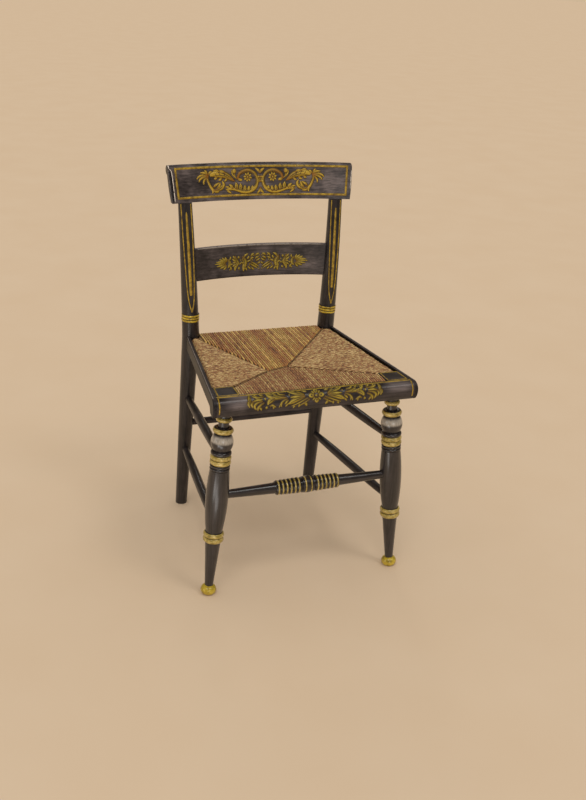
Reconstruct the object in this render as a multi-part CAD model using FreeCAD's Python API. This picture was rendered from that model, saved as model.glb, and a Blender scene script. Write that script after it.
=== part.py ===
import FreeCAD
import Part
import math
import os

V = FreeCAD.Vector
UP = V(0, 0, 1)
ACROSS = V(1, 0, 0)
BACK = V(0, 1, 0)

# A painted side chair with a rush seat: turned front legs on ball feet, round back posts that are
# planed flat and bent back above the seat, a crest rail rolled over at the top and one bowed slat.
# Millimetres, +Z up, the front faces -Y, the origin is on the floor under the middle of the chair.
# Right means +X, and the left pieces are mirrored from the right ones.

# Stance: where the front legs and the back posts stand
seat_height = 466.0
front_leg_half_spacing = 189.0
front_leg_splay_side = 29.0
front_leg_splay_front = 18.0
seat_depth = 337.0
post_half_spacing = 169.0
post_foot_spread = 3.0
post_foot_rake = 43.0
post_top_spread = 12.0
post_top_rake = 28.0
post_bend_share = 0.35

# Fits: glue room in the joints, room between the rush and the wood, overrun of the cuts
glue_gap = 0.1
rush_slack = 0.3
joint_web = 1.5
cut_overrun = 1.0

# Back posts
post_foot_radius = 14.2
post_seat_radius = 20.0
post_top_radius = 15.6
post_top_thickness = 13.0
post_loft_shares = (0.0, 0.16, 0.36, 0.58, 0.8, 1.0)
collar_above_seat = 34.0
collar_bead_length = 6.0
collar_bead_rise = 1.1
collar_bead_count = 3
collar_seam_turn = 45.0
front_facet_above_seat = 53.0
back_facet_above_seat = 109.0
facet_reach = 60.0
facet_shares = ((0.0, -0.04), (0.07, 0.1), (0.15, 0.25), (0.25, 0.38), (0.43, 0.55), (0.7, 0.8), (1.0, 1.0))

# Crest rail: a bowed slab that leans back, with a roll along the back of its top edge
crest_above_seat = 302.0
crest_height = 79.0
crest_half_length = 213.0
crest_end_flare = 7.0
crest_end_flare_share = 0.7
crest_bow = 24.5
crest_setback = 20.0
crest_thickness = 12.0
crest_roll_radius = 10.5
crest_edge_radius = 1.4
crest_tenon_width = 18.0
crest_tenon_thickness = 5.5
crest_tenon_length = 28.0
crest_pin_radius = 2.0
crest_pin_front_wall = 2.5

# Slat across the back
slat_above_seat = 123.0
slat_height = 76.0
slat_thickness = 9.5
slat_edge_radius = 3.0
slat_bow = 26.0
slat_end_from_axis = 3.0
slat_pin_radius = 1.75
slat_pin_from_axis = 7.0
slat_pin_wall = 2.5

# Front legs, from the floor up, as turned
foot_pad_radius = 9.0
foot_trim = 1.5
foot_ball_height = 20.0
foot_ball_radius = 17.2
ankle_radius = 9.2
lower_taper_length = 108.0
lower_taper_radius = 16.8
low_bead_length = 11.5
low_bead_radius = 22.4
low_bead_core_radius = 18.6
swell_base_radius = 17.8
swell_radius = 24.2
swell_share = 0.55
swell_top_radius = 20.8
collar_ring_length = 6.5
collar_ring_count = 2
collar_ring_radius = 21.6
collar_ring_core_radius = 19.6
high_bead_length = 10.75
high_bead_radius = 22.6
high_bead_core_radius = 19.4
shoulder_length = 9.5
shoulder_radius = 22.2
shoulder_core_radius = 17.6
ball_length = 40.0
ball_radius = 23.6
ball_top_radius = 14.6
upper_ring_length = 10.5
upper_ring_radius = 21.8
neck_radius = 11.2
neck_length = 14.0
top_ring_length = 9.0
top_ring_radius = 17.2
top_neck_radius = 12.4
top_neck_flare_radius = 14.8
top_neck_length = 16.5
leg_tenon_radius = 10.0
leg_tenon_length = 31.0

# Seat frame: corner blocks on the front legs, flat rods that the rush is woven on
seat_frame_depth = 38.5
block_inner = 25.0
block_outer = 25.0
block_front = 19.0
block_rear = 27.0
block_edge_radius = 1.2
rail_width = 18.0
rail_thickness = 13.0
rail_edge_radius = 5.0
rail_tenon_radius = 5.5
rear_tenon_past_axis = 4.0

# Front roll: the rounded moulding nailed over the front of the seat
roll_depth = 24.0
roll_top_flat = 5.0
roll_nose_drop = 19.0
roll_roundness_share = 0.55
roll_fullness_share = 0.6
roll_foot_setback = 6.5
roll_brad_drop = 20.0
roll_brad_clear = 4.0
roll_brad_into_block = 7.0

# Side strips: thin boards along the sides of the seat, turned down in front to close the roll
strip_thickness = 8.5
strip_height = 27.0
strip_rear_offset = 4.0
strip_drop_width = 34.0
strip_curve_radius = 12.0
strip_edge_radius = 1.8
strip_brad_drop = 11.0
strip_brad_spacing = 24.0
strip_brad_into_block = 7.0
brad_radius = 0.9

# Rush: its outer form, the lines where the four woven fields meet, and the stuffing between
rush_below_top = 1.0
rush_thickness = 5.0
rush_edge_radius = 9.0
seam_join_from_rail = 107.0
seam_bridge_length = 48.0
seam_bridge_offset = -39.0
seam_bridge_skew = 14.0
seam_groove_width = 9.0
seam_groove_depth = 3.0
seam_web = 9.0
stuffing_corner_room = 3.0

# Stretchers, with the heights of their axes at the leg and at the post
side_stretcher_radius = 10.3
rear_stretcher_radius = 9.0
stretcher_tenon_radius = 8.0
tenon_end_from_axis = 4.0
tenon_reveal = 2.0
lower_stretcher_leg_height = 171.0
lower_stretcher_post_height = 163.0
upper_stretcher_leg_height = 322.0
upper_stretcher_post_height = 302.0
rear_stretcher_height = 231.0
front_stretcher_height = 234.0
front_tenon_radius = 9.3
front_shaft_radius = 12.2
front_barrel_half_length = 13.0
front_barrel_radius = 18.6
front_barrel_end_radius = 17.2
front_groove_length = 4.0
front_groove_radius = 13.0
front_rib_count = 6
front_rib_length = 9.3
front_rib_radius = 17.6
front_rib_last_radius = 16.2
front_rib_groove = 2.2


# The crest rail's bow and lean, and how far its roll stands behind the top of the posts
crest_radius = (crest_half_length**2 + crest_bow**2) / (2 * crest_bow)
crest_sag = crest_radius - math.sqrt(crest_radius**2 - (post_half_spacing + post_top_spread)**2)
crest_lean = math.atan(crest_setback / crest_height)
crest_half_base = crest_thickness / math.cos(crest_lean) / 2
crest_roll_rise = crest_roll_radius * (1 - math.sin(crest_lean))
crest_face_length = (crest_height - crest_roll_rise) / math.cos(crest_lean)
crest_roll_back = crest_face_length * math.sin(crest_lean) + crest_roll_radius * (1 + math.cos(crest_lean))
crest_reach = crest_sag - crest_half_base + crest_roll_back

# Heights from the floor
collar_height = seat_height + collar_above_seat
front_facet_height = seat_height + front_facet_above_seat
back_facet_height = seat_height + back_facet_above_seat
slat_base_height = seat_height + slat_above_seat
crest_base_height = seat_height + crest_above_seat
roll_brad_height = seat_height - roll_brad_drop
strip_brad_height = seat_height - strip_brad_drop

# Places worked out from the sizes above, with the origin half way from the front roll to the crest
overall_depth = roll_depth + block_front + seat_depth + post_top_rake + crest_reach
front_leg_y = roll_depth + block_front - overall_depth / 2
post_y = front_leg_y + seat_depth
seat_underside = seat_height - seat_frame_depth
rush_top = seat_height - rush_below_top
rail_axis_height = rush_top - rush_thickness - rail_thickness / 2
rush_underside = rail_axis_height - rail_thickness / 2 - rush_thickness
roll_back_y = front_leg_y - block_front
block_rear_y = front_leg_y + block_rear
block_inner_x = front_leg_half_spacing - block_inner
front_rail_y = roll_back_y + rush_slack + rush_thickness + rail_width / 2
side_slope = (front_leg_half_spacing + block_outer - post_half_spacing - strip_rear_offset) / seat_depth
side_angle = math.atan(side_slope)


def between(start, end, share):
    """The value or the point at a share of the way from start to end."""
    return start + (end - start) * share


def toward(start, end, distance):
    """The point at a distance from start on the line to end."""
    return start + (end - start).normalize() * distance


def leg_point(height):
    """A point on the axis of the right front leg."""
    share = 1 - height / seat_underside
    x = front_leg_half_spacing + front_leg_splay_side * share
    return V(x, front_leg_y - front_leg_splay_front * share, height)


def post_point(height):
    """A point on the centre line of the right back post."""
    if height <= seat_height:
        share = 1 - height / seat_height
        return V(post_half_spacing + post_foot_spread * share, post_y + post_foot_rake * share, height)
    share = (height - seat_height) / (crest_base_height - seat_height)
    bend = post_bend_share * share + (1 - post_bend_share) * share**2
    return V(post_half_spacing + post_top_spread * share, post_y + post_top_rake * bend, height)


def post_radius(height):
    """The radius of the back post as turned, before it is planed."""
    if height <= seat_height:
        return between(post_foot_radius, post_seat_radius, height / seat_height)
    share = (height - seat_height) / (crest_base_height - seat_height)
    return between(post_seat_radius, post_top_radius, share)


def side_x(y):
    """The inner face of the right side strip at a place along the seat."""
    return front_leg_half_spacing + block_outer - side_slope * (y - front_leg_y)


def mirrored(shape):
    """The left piece that matches a right one."""
    return shape.mirror(V(0, 0, 0), ACROSS)


def rod(start, end, radius):
    return Part.makeCylinder(radius, (end - start).Length, start, end - start)


def polygon_face(points):
    return Part.Face(Part.makePolygon(points + [points[0]]))


def plan_block(points, low, high):
    """A block with an outline seen from above, between two heights."""
    outline = [V(x, y, low) for x, y in points]
    return polygon_face(outline).extrude(UP * (high - low))


def rounded_face(centre, u, v, width, height, radius):
    """A rectangle with round corners, width along u and height along v."""
    half_u, half_v = width / 2, height / 2
    inner_u, inner_v = half_u - radius, half_v - radius
    bulge = radius * math.sqrt(0.5)
    corners = ((1, 1), (-1, 1), (-1, -1), (1, -1))
    edges = []
    last = None
    first = None
    for turn, (side_u, side_v) in enumerate(corners):
        on_side = centre + u * (side_u * half_u) + v * (side_v * inner_v)
        on_top = centre + u * (side_u * inner_u) + v * (side_v * half_v)
        middle = centre + u * (side_u * (inner_u + bulge)) + v * (side_v * (inner_v + bulge))
        start, end = (on_side, on_top) if turn % 2 == 0 else (on_top, on_side)
        if last is not None:
            edges.append(Part.makeLine(last, start))
        else:
            first = start
        edges.append(Part.Arc(start, middle, end).toShape())
        last = end
    edges.append(Part.makeLine(last, first))
    return Part.Face(Part.Wire(edges))


class Turning:
    """A profile cut on a lathe, drawn along the axis from one end and turned once round it."""

    def __init__(self, radius, place=0.0):
        self.place = place
        self.radius = radius
        self.edges = []
        self.start = V(radius, 0, place)

    def _add(self, edge, length, radius):
        self.edges.append(edge)
        self.place += length
        self.radius = radius

    def _point(self, length, radius):
        return V(radius, 0, self.place + length)

    def taper(self, length, radius):
        """Straight from the present radius to another one."""
        edge = Part.makeLine(self._point(0, self.radius), self._point(length, radius))
        self._add(edge, length, radius)

    def step(self, radius):
        """Square in or out."""
        self.taper(0, radius)

    def curve(self, length, middle_radius, end_radius, share=0.5):
        """A swell or a hollow through a middle radius at a share of the length."""
        middle = self._point(length * share, middle_radius)
        arc = Part.Arc(self._point(0, self.radius), middle, self._point(length, end_radius))
        self._add(arc.toShape(), length, end_radius)

    def bead(self, length, radius):
        """A half round that rises to a radius and comes back."""
        self.curve(length, radius, self.radius)

    def solid(self, both_ways=False):
        """The turned solid. both_ways repeats the profile on the other side of its start."""
        edges = list(self.edges)
        if both_ways:
            edges += [edge.mirror(V(0, 0, 0), UP) for edge in self.edges]
            first = V(0, 0, -self.place)
            edges.append(Part.makeLine(first, V(self.radius, 0, -self.place)))
        else:
            first = V(0, 0, self.start.z)
            edges.append(Part.makeLine(first, self.start))
        last = V(0, 0, self.place)
        edges.append(Part.makeLine(V(self.radius, 0, self.place), last))
        edges.append(Part.makeLine(last, first))
        outline = Part.Wire(Part.__sortEdges__(edges))
        return Part.Face(outline).revolve(V(0, 0, 0), UP, 360)


def laid(shape, start, end):
    """A turned shape moved so that its own axis runs from start towards end."""
    shape.Placement = FreeCAD.Placement(start, FreeCAD.Rotation(UP, end - start))
    return shape


# Stretchers

def stretcher_socket(inside, outside, radius):
    """The round hole that takes a stretcher's end, bored from near the axis of the leg or post."""
    start = toward(inside, outside, tenon_end_from_axis - glue_gap)
    far = toward(inside, outside, facet_reach)
    return rod(start, far, radius + glue_gap)


def plain_stretcher(start, end, start_radius, end_radius, middle_radius):
    """A round stretcher, fullest in the middle. Its straight ends go into the leg and the post."""
    length = (end - start).Length
    start_end = start_radius - tenon_end_from_axis + tenon_reveal
    far_end = end_radius - tenon_end_from_axis + tenon_reveal
    turning = Turning(stretcher_tenon_radius)
    turning.taper(start_end, stretcher_tenon_radius)
    shown = length - 2 * tenon_end_from_axis - start_end - far_end
    turning.curve(shown, middle_radius, stretcher_tenon_radius)
    turning.taper(far_end, stretcher_tenon_radius)
    return laid(turning.solid(), toward(start, end, tenon_end_from_axis), end)


def leg_widest():
    return max(swell_radius, ball_radius, high_bead_radius, shoulder_radius)


def side_stretcher(leg_height, post_height):
    start, end = leg_point(leg_height), post_point(post_height)
    return plain_stretcher(start, end, leg_widest(), post_seat_radius, side_stretcher_radius)


def rear_stretcher():
    end = post_point(rear_stretcher_height)
    start = V(-end.x, end.y, end.z)
    return plain_stretcher(start, end, post_seat_radius, post_seat_radius, rear_stretcher_radius)


def front_stretcher():
    """The turned stretcher between the front legs: a barrel between two rows of ribs."""
    end = leg_point(front_stretcher_height)
    turning = Turning(front_barrel_radius)
    turning.taper(front_barrel_half_length, front_barrel_end_radius)
    turning.step(front_groove_radius)
    turning.taper(front_groove_length, front_groove_radius)
    for rib in range(front_rib_count):
        top = between(front_rib_radius, front_rib_last_radius, rib / (front_rib_count - 1))
        turning.step(top - front_rib_groove)
        turning.bead(front_rib_length, top)
    turning.step(front_shaft_radius)
    straight = leg_widest() - tenon_end_from_axis + tenon_reveal
    turning.taper(end.x - tenon_end_from_axis - straight - turning.place, front_tenon_radius)
    turning.taper(straight, front_tenon_radius)
    return laid(turning.solid(both_ways=True), V(0, end.y, end.z), end)


# Front legs

def leg_blank():
    """The right front leg as turned, square to its own axis, with no sockets."""
    foot, top = leg_point(0), leg_point(seat_underside)
    turning = Turning(foot_pad_radius, -foot_trim)
    turning.curve(foot_ball_height + foot_trim, foot_ball_radius, ankle_radius)
    turning.taper(lower_taper_length, lower_taper_radius)
    turning.step(low_bead_core_radius)
    turning.bead(low_bead_length, low_bead_radius)
    turning.bead(low_bead_length, low_bead_radius)
    turning.step(swell_base_radius)
    above = (collar_ring_count * collar_ring_length + 2 * high_bead_length + shoulder_length
             + ball_length + upper_ring_length + neck_length + top_ring_length + top_neck_length)
    turning.curve((top - foot).Length - turning.place - above, swell_radius, swell_top_radius, swell_share)
    turning.step(collar_ring_core_radius)
    for _ in range(collar_ring_count):
        turning.bead(collar_ring_length, collar_ring_radius)
    turning.step(high_bead_core_radius)
    turning.bead(high_bead_length, high_bead_radius)
    turning.bead(high_bead_length, high_bead_radius)
    turning.curve(shoulder_length, shoulder_radius, shoulder_core_radius)
    turning.curve(ball_length, ball_radius, ball_top_radius)
    turning.step(neck_radius)
    turning.bead(upper_ring_length, upper_ring_radius)
    turning.taper(neck_length, neck_radius)
    turning.bead(top_ring_length, top_ring_radius)
    turning.step(top_neck_radius)
    turning.taper(top_neck_length + cut_overrun + foot_trim, top_neck_flare_radius)
    leg = laid(turning.solid(), foot, top)
    reach = leg_widest() + front_leg_splay_side
    under_seat = Part.makeBox(2 * reach, 2 * reach, seat_underside)
    under_seat.translate(V(between(foot.x, top.x, 0.5) - reach, between(foot.y, top.y, 0.5) - reach, 0))
    return leg.common(under_seat)


def leg_tenon(grow=0.0):
    """The round tenon on top of the leg, or with grow the hole for it in the corner block."""
    foot, top = leg_point(0), leg_point(seat_underside)
    start = toward(top, foot, top_neck_length / 2)
    away = toward(top, foot, -leg_tenon_length - grow)
    return rod(start, away, leg_tenon_radius + grow)


def front_leg():
    leg = leg_blank().fuse(leg_tenon())
    for leg_height, post_height in side_stretcher_heights:
        inside, outside = leg_point(leg_height), post_point(post_height)
        leg = leg.cut(stretcher_socket(inside, outside, stretcher_tenon_radius))
    inside = leg_point(front_stretcher_height)
    leg = leg.cut(stretcher_socket(inside, V(0, inside.y, inside.z), front_tenon_radius))
    return leg.removeSplitter()


# Back posts

def post_blank(grow=0.0):
    """The right back post as turned and bent, with no sockets and not yet planed."""
    def ring(height):
        return Part.Wire(Part.makeCircle(post_radius(height) + grow, post_point(height), UP))

    heights = [between(seat_height, crest_base_height, share) for share in post_loft_shares]
    lower = Part.makeLoft([ring(0.0), ring(seat_height)], True, True)
    upper = Part.makeLoft([ring(height) for height in heights], True, False)
    return lower.fuse(upper)


def planed_off(side, start_height):
    """The wood that a plane takes off the front (side -1) or the back (side 1) of the post."""
    points = []
    for height_share, depth_share in facet_shares:
        height = between(start_height, crest_base_height, height_share)
        half = between(post_radius(start_height), post_top_thickness / 2, depth_share)
        points.append(V(0, post_point(height).y + side * half, height))
    face_line = Part.BSplineCurve()
    face_line.interpolate(points)
    first, last = points[0], points[-1]
    top = last + UP * cut_overrun
    far_top = V(0, last.y + side * facet_reach, top.z)
    far_first = V(0, far_top.y, first.z)
    edges = [face_line.toShape(), Part.makeLine(last, top), Part.makeLine(top, far_top)]
    edges += [Part.makeLine(far_top, far_first), Part.makeLine(far_first, first)]
    face = Part.Face(Part.Wire(edges))
    face.translate(ACROSS * (post_half_spacing - facet_reach))
    return face.extrude(ACROSS * (2 * facet_reach))


def post_collar():
    """Small beads turned round the post just above the seat, with their seam off the post's own."""
    turning = Turning(post_radius(collar_height))
    for _ in range(collar_bead_count):
        turning.bead(collar_bead_length, post_radius(collar_height) + collar_bead_rise)
    collar = turning.solid()
    collar.rotate(V(0, 0, 0), UP, collar_seam_turn)
    collar.translate(post_point(collar_height))
    return collar


def planed_post():
    post = post_blank().fuse(post_collar())
    post = post.cut(planed_off(-1, front_facet_height))
    return post.cut(planed_off(1, back_facet_height))


# Crest rail

post_top = post_point(crest_base_height)
crest_axis_y = post_top.y - math.sqrt(crest_radius**2 - post_top.x**2)


def crest_directions():
    """Along the crest, square through it and up its slope, at the top of the right post."""
    outward = (V(post_top.x, post_top.y - crest_axis_y, 0)).normalize()
    along = V(outward.y, -outward.x, 0)
    through = outward * math.cos(crest_lean) - UP * math.sin(crest_lean)
    rising = outward * math.sin(crest_lean) + UP * math.cos(crest_lean)
    return along, through, rising


def bowed(face, axis_y, radius, half_length):
    """A section at the middle of the chair, swept along a level arc that is hollow to the front."""
    angle = math.degrees(math.asin(half_length / radius))
    face.rotate(V(0, axis_y, 0), UP, -angle)
    return face.revolve(V(0, axis_y, 0), UP, 2 * angle)


def crest_blank():
    """The crest with its ends trimmed to a slight flare, and no mortises."""
    rising = V(0, math.sin(crest_lean), math.cos(crest_lean))
    through = V(0, math.cos(crest_lean), -math.sin(crest_lean))
    base = V(0, crest_axis_y + crest_radius, crest_base_height)
    front_base = base - BACK * crest_half_base
    back_base = base + BACK * crest_half_base
    front_top = front_base + rising * crest_face_length
    roll_centre = front_top + through * crest_roll_radius
    roll_overhang = crest_thickness - crest_roll_radius
    roll_drop = math.sqrt(crest_roll_radius**2 - roll_overhang**2)
    roll_end = roll_centre + through * roll_overhang - rising * roll_drop
    roll_back = roll_centre + through * crest_roll_radius
    under_roll = (roll_back - roll_centre + roll_end - roll_centre).normalize() * crest_roll_radius
    outline = [Part.makeLine(front_base, front_top),
               Part.Arc(front_top, roll_centre + rising * crest_roll_radius, roll_back).toShape(),
               Part.Arc(roll_back, roll_centre + under_roll, roll_end).toShape(),
               Part.makeLine(roll_end, back_base), Part.makeLine(back_base, front_base)]
    reach = crest_half_length + crest_end_flare + crest_roll_radius
    slab = bowed(Part.Face(Part.Wire(outline)), crest_axis_y, crest_radius, reach)
    top_height = crest_base_height + crest_height
    low = V(crest_half_length, crest_axis_y, crest_base_height - cut_overrun)
    middle_x = crest_half_length + crest_end_flare * crest_end_flare_share
    middle = V(middle_x, crest_axis_y, between(crest_base_height, top_height, 0.5))
    high = V(crest_half_length + crest_end_flare, crest_axis_y, top_height + cut_overrun)
    right_end = Part.Arc(low, middle, high).toShape()
    left_end = right_end.mirror(V(0, 0, 0), ACROSS)
    bottom = Part.makeLine(V(-low.x, low.y, low.z), low)
    top = Part.makeLine(V(-high.x, high.y, high.z), high)
    front = Part.Face(Part.Wire(Part.__sortEdges__([bottom, right_end, top, left_end])))
    crest = slab.common(front.extrude(BACK * (2 * crest_radius)))
    end_edges = [edge for edge in crest.Edges if abs(edge.CenterOfMass.x) > crest_half_length - cut_overrun]
    return crest.makeFillet(crest_edge_radius, end_edges)


def crest_tenon(grow=0.0):
    """The flat tenon on top of the right post, or with grow the mortise for it."""
    along, through, rising = crest_directions()
    half_width = along * (crest_tenon_width / 2 + grow)
    half_thickness = through * (crest_tenon_thickness / 2 + grow)
    start = post_top - rising * (crest_tenon_thickness + grow)
    corners = [start - half_width - half_thickness, start + half_width - half_thickness,
               start + half_width + half_thickness, start - half_width + half_thickness]
    length = crest_tenon_thickness + crest_tenon_length + 2 * grow
    return polygon_face(corners).extrude(rising * length)


def crest_pin(blank):
    """The right peg through the back of the crest and its tenon, trimmed flush."""
    _, through, rising = crest_directions()
    middle = post_top + rising * (crest_tenon_length / 2)
    front = middle - through * (crest_thickness / 2 - crest_pin_front_wall)
    return rod(front, middle + through * crest_thickness, crest_pin_radius).common(blank)


# Slat

slat_middle = slat_base_height + slat_height / 2
slat_post = post_point(slat_middle)
slat_radius = (slat_post.x**2 + slat_bow**2) / (2 * slat_bow)
slat_axis_y = slat_post.y - math.sqrt(slat_radius**2 - slat_post.x**2)


def slat_solid(grow=0.0):
    """The slat with its ends inside the posts, or with grow the mortises for it."""
    low, high = post_point(slat_base_height), post_point(slat_base_height + slat_height)
    lean = math.atan2(high.y - low.y, high.z - low.z)
    rising = V(0, math.sin(lean), math.cos(lean))
    through = V(0, math.cos(lean), -math.sin(lean))
    middle = V(0, slat_axis_y + slat_radius, slat_middle)
    face = rounded_face(middle, through, rising, slat_thickness + 2 * grow, slat_height + 2 * grow,
                        slat_edge_radius)
    slab = bowed(face, slat_axis_y, slat_radius, slat_post.x + post_seat_radius)
    inset = slat_end_from_axis - grow
    front_y = slat_axis_y
    ends = [V(-low.x + inset, front_y, low.z), V(low.x - inset, front_y, low.z),
            V(high.x - inset, front_y, high.z), V(-high.x + inset, front_y, high.z)]
    if grow:
        spread = (high.x - low.x) * slat_height / (high.z - low.z)
        lower, upper = low.z - slat_height, high.z + slat_height
        ends = [V(-low.x + inset + spread, front_y, lower), V(low.x - inset - spread, front_y, lower),
                V(high.x - inset + spread, front_y, upper), V(-high.x + inset - spread, front_y, upper)]
    return slab.common(polygon_face(ends).extrude(BACK * (2 * slat_radius)))


def slat_pin(post):
    """The right peg from the back of the post through the slat's end, trimmed flush."""
    x = slat_post.x - slat_pin_from_axis
    y = slat_post.y - slat_thickness / 2 - slat_pin_wall
    start = V(x, y, slat_middle)
    return rod(start, start + BACK * (2 * post_seat_radius), slat_pin_radius).common(post)


# Seat frame

def corner_block_blank():
    outline = [(block_inner_x, roll_back_y), (side_x(roll_back_y), roll_back_y),
               (side_x(block_rear_y), block_rear_y), (block_inner_x, block_rear_y)]
    return plan_block(outline, seat_underside, seat_height)


def front_tenon_end():
    """How far the front rail's tenon reaches, short of the leg's tenon."""
    return leg_point(rail_axis_height).x - leg_tenon_radius - joint_web


def side_rail_line():
    """The side rail's axis: where it meets the corner block and where it passes the post."""
    inset = (rush_slack + rush_thickness + rail_width / 2) / math.cos(side_angle)
    start = V(side_x(block_rear_y) - inset, block_rear_y, rail_axis_height)
    rear_y = post_point(rail_axis_height).y
    return start, V(side_x(rear_y) - inset, rear_y, rail_axis_height)


def tenon_at(start, end, grow=0.0):
    return rod(start, end, rail_tenon_radius + grow)


def side_rail_tenons(grow=0.0):
    """The side rail's round tenons, stopped short of the leg's tenon and of the rear rail's."""
    start, end = side_rail_line()
    leg_side = leg_point(rail_axis_height).y + leg_tenon_radius + joint_web
    front_depth = (start.y - leg_side + grow) / math.cos(side_angle)
    rear_room = (rail_tenon_radius + joint_web - grow) / math.cos(side_angle)
    stop = toward(end, start, rear_room)
    inner = toward(start, end, rail_width)
    front = tenon_at(toward(start, end, -front_depth), inner, grow)
    return front, tenon_at(toward(stop, start, rail_width + post_seat_radius), stop, grow)


def rail_bar(start, end, grow=0.0):
    """The flat body of a seat rail between two points."""
    direction = (end - start).normalize()
    sideways = direction.cross(UP)
    width, height = rail_width + 2 * grow, rail_thickness + 2 * grow
    face = rounded_face(start, sideways, UP, width, height, rail_edge_radius)
    return face.extrude(end - start)


def front_rail_body(grow=0.0):
    end = V(block_inner_x, front_rail_y, rail_axis_height)
    return rail_bar(V(-end.x, end.y, end.z), end, grow)


def rear_rail_body(grow=0.0):
    end = post_point(rail_axis_height)
    return rail_bar(V(-end.x, end.y, end.z), end, grow)


def side_rail_body(grow=0.0):
    """The side rail's flat body, from inside the corner block to the front of the rear rail."""
    start, end = side_rail_line()
    stop = toward(end, start, (rail_width / 2 + joint_web - grow) / math.cos(side_angle) - grow)
    return rail_bar(toward(start, end, -rail_width), stop, grow)


def front_rail():
    end = V(front_tenon_end(), front_rail_y, rail_axis_height)
    return front_rail_body().fuse(tenon_at(V(-end.x, end.y, end.z), end)).removeSplitter()


def rear_tenon(grow=0.0):
    end = post_point(rail_axis_height) + ACROSS * (rear_tenon_past_axis + grow)
    return tenon_at(V(-end.x, end.y, end.z), end, grow)


def rear_rail(post):
    rail = rear_rail_body().cut(post).cut(mirrored(post))
    return rail.fuse(rear_tenon()).removeSplitter()


def side_rail(post):
    rail = side_rail_body().cut(post).cut(corner_block_blank())
    for tenon in side_rail_tenons():
        rail = rail.fuse(tenon)
    return rail.removeSplitter()


def corner_block(pins):
    block = corner_block_blank()
    top_edges = [edge for edge in block.Edges if edge.BoundBox.ZMin > seat_height - cut_overrun]
    block = block.makeFillet(block_edge_radius, top_edges)
    block = block.cut(leg_tenon(glue_gap))
    end = V(front_tenon_end() + glue_gap, front_rail_y, rail_axis_height)
    block = block.cut(tenon_at(V(0, end.y, end.z), end, glue_gap))
    block = block.cut(side_rail_tenons(glue_gap)[0])
    for pin in pins:
        block = block.cut(pin)
    return block


# Front roll and side strips

def roll_profile(x):
    """The section of the front roll: flat on top for a little way, then over and down to its foot."""
    front_y = roll_back_y - roll_depth
    nose = V(x, front_y, seat_height - roll_nose_drop)
    top_end = V(x, roll_back_y - roll_top_flat, seat_height)
    foot = V(x, front_y + roll_foot_setback, seat_underside)
    over = [top_end, V(x, between(top_end.y, front_y, roll_roundness_share), seat_height),
            V(x, front_y, between(nose.z, seat_height, roll_roundness_share)), nose]
    under = [nose, V(x, front_y, between(nose.z, foot.z, roll_fullness_share)), foot]
    edges = []
    for poles in (over, under):
        line = Part.BezierCurve()
        line.setPoles(poles)
        edges.append(line.toShape())
    return edges, top_end, foot


def roll_blank():
    edges, top_end, foot = roll_profile(0)
    back_top, back_foot = V(0, roll_back_y, seat_height), V(0, roll_back_y, seat_underside)
    edges += [Part.makeLine(foot, back_foot), Part.makeLine(back_foot, back_top),
              Part.makeLine(back_top, top_end)]
    face = Part.Face(Part.Wire(edges))
    reach = 2 * front_leg_half_spacing
    face.translate(ACROSS * -reach)
    front_y = roll_back_y - 2 * roll_depth
    plan = [(-side_x(front_y), front_y), (side_x(front_y), front_y),
            (side_x(roll_back_y), roll_back_y), (-side_x(roll_back_y), roll_back_y)]
    between_strips = plan_block(plan, 0, 2 * seat_height)
    return face.extrude(ACROSS * (2 * reach)).common(between_strips)


def roll_brads():
    """The two finishing nails from the right end of the roll into its corner block."""
    axis = leg_point(roll_brad_height)
    both = roll_blank().fuse(corner_block_blank())
    brads = []
    for side in (-1, 1):
        x = axis.x + side * (leg_tenon_radius + roll_brad_clear)
        start = V(x, roll_back_y + roll_brad_into_block, roll_brad_height)
        brads.append(rod(start, start - BACK * (2 * roll_depth), brad_radius).common(both))
    return brads


def side_strip_blank(post):
    """The right side strip, turned down in front with the outline of the roll."""
    edges, top_end, foot = roll_profile(0)
    strip_foot_z = seat_height - strip_height
    drop_y = roll_back_y - roll_depth + strip_drop_width
    rear_top, rear_low = V(0, post_y, seat_height), V(0, post_y, strip_foot_z)
    curve_end = V(0, drop_y + strip_curve_radius, strip_foot_z)
    drop_top = V(0, drop_y, strip_foot_z - strip_curve_radius)
    drop_foot = V(0, drop_y, seat_underside)
    bulge = strip_curve_radius * (1 - math.sqrt(0.5))
    curve_middle = V(0, drop_y + bulge, strip_foot_z - bulge)
    edges += [Part.makeLine(foot, drop_foot), Part.makeLine(drop_foot, drop_top),
              Part.Arc(drop_top, curve_middle, curve_end).toShape(), Part.makeLine(curve_end, rear_low),
              Part.makeLine(rear_low, rear_top), Part.makeLine(rear_top, top_end)]
    slab = Part.Face(Part.Wire(edges)).extrude(ACROSS * (2 * front_leg_half_spacing))
    front_y = roll_back_y - 2 * roll_depth
    across = strip_thickness / math.cos(side_angle)
    plan = [(side_x(front_y), front_y), (side_x(front_y) + across, front_y),
            (side_x(post_y) + across, post_y), (side_x(post_y), post_y)]
    strip = slab.common(plan_block(plan, 0, 2 * seat_height))
    outer = [edge for edge in strip.Edges
             if abs(edge.CenterOfMass.x - side_x(edge.CenterOfMass.y) - across) < strip_edge_radius
             and edge.CenterOfMass.z > seat_height - strip_edge_radius]
    return strip.makeFillet(strip_edge_radius, outer).cut(post)


def strip_brads():
    """The two finishing nails from the right side strip into its corner block."""
    outward = V(math.cos(side_angle), math.sin(side_angle), 0)
    middle_y = between(roll_back_y, block_rear_y, 0.5)
    brads = []
    for side in (-1, 1):
        y = middle_y + side * strip_brad_spacing / 2
        inner_face = V(side_x(y), y, strip_brad_height)
        brads.append(rod(inner_face - outward * strip_brad_into_block,
                         inner_face + outward * strip_thickness, brad_radius))
    return brads


# Rush seat

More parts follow.
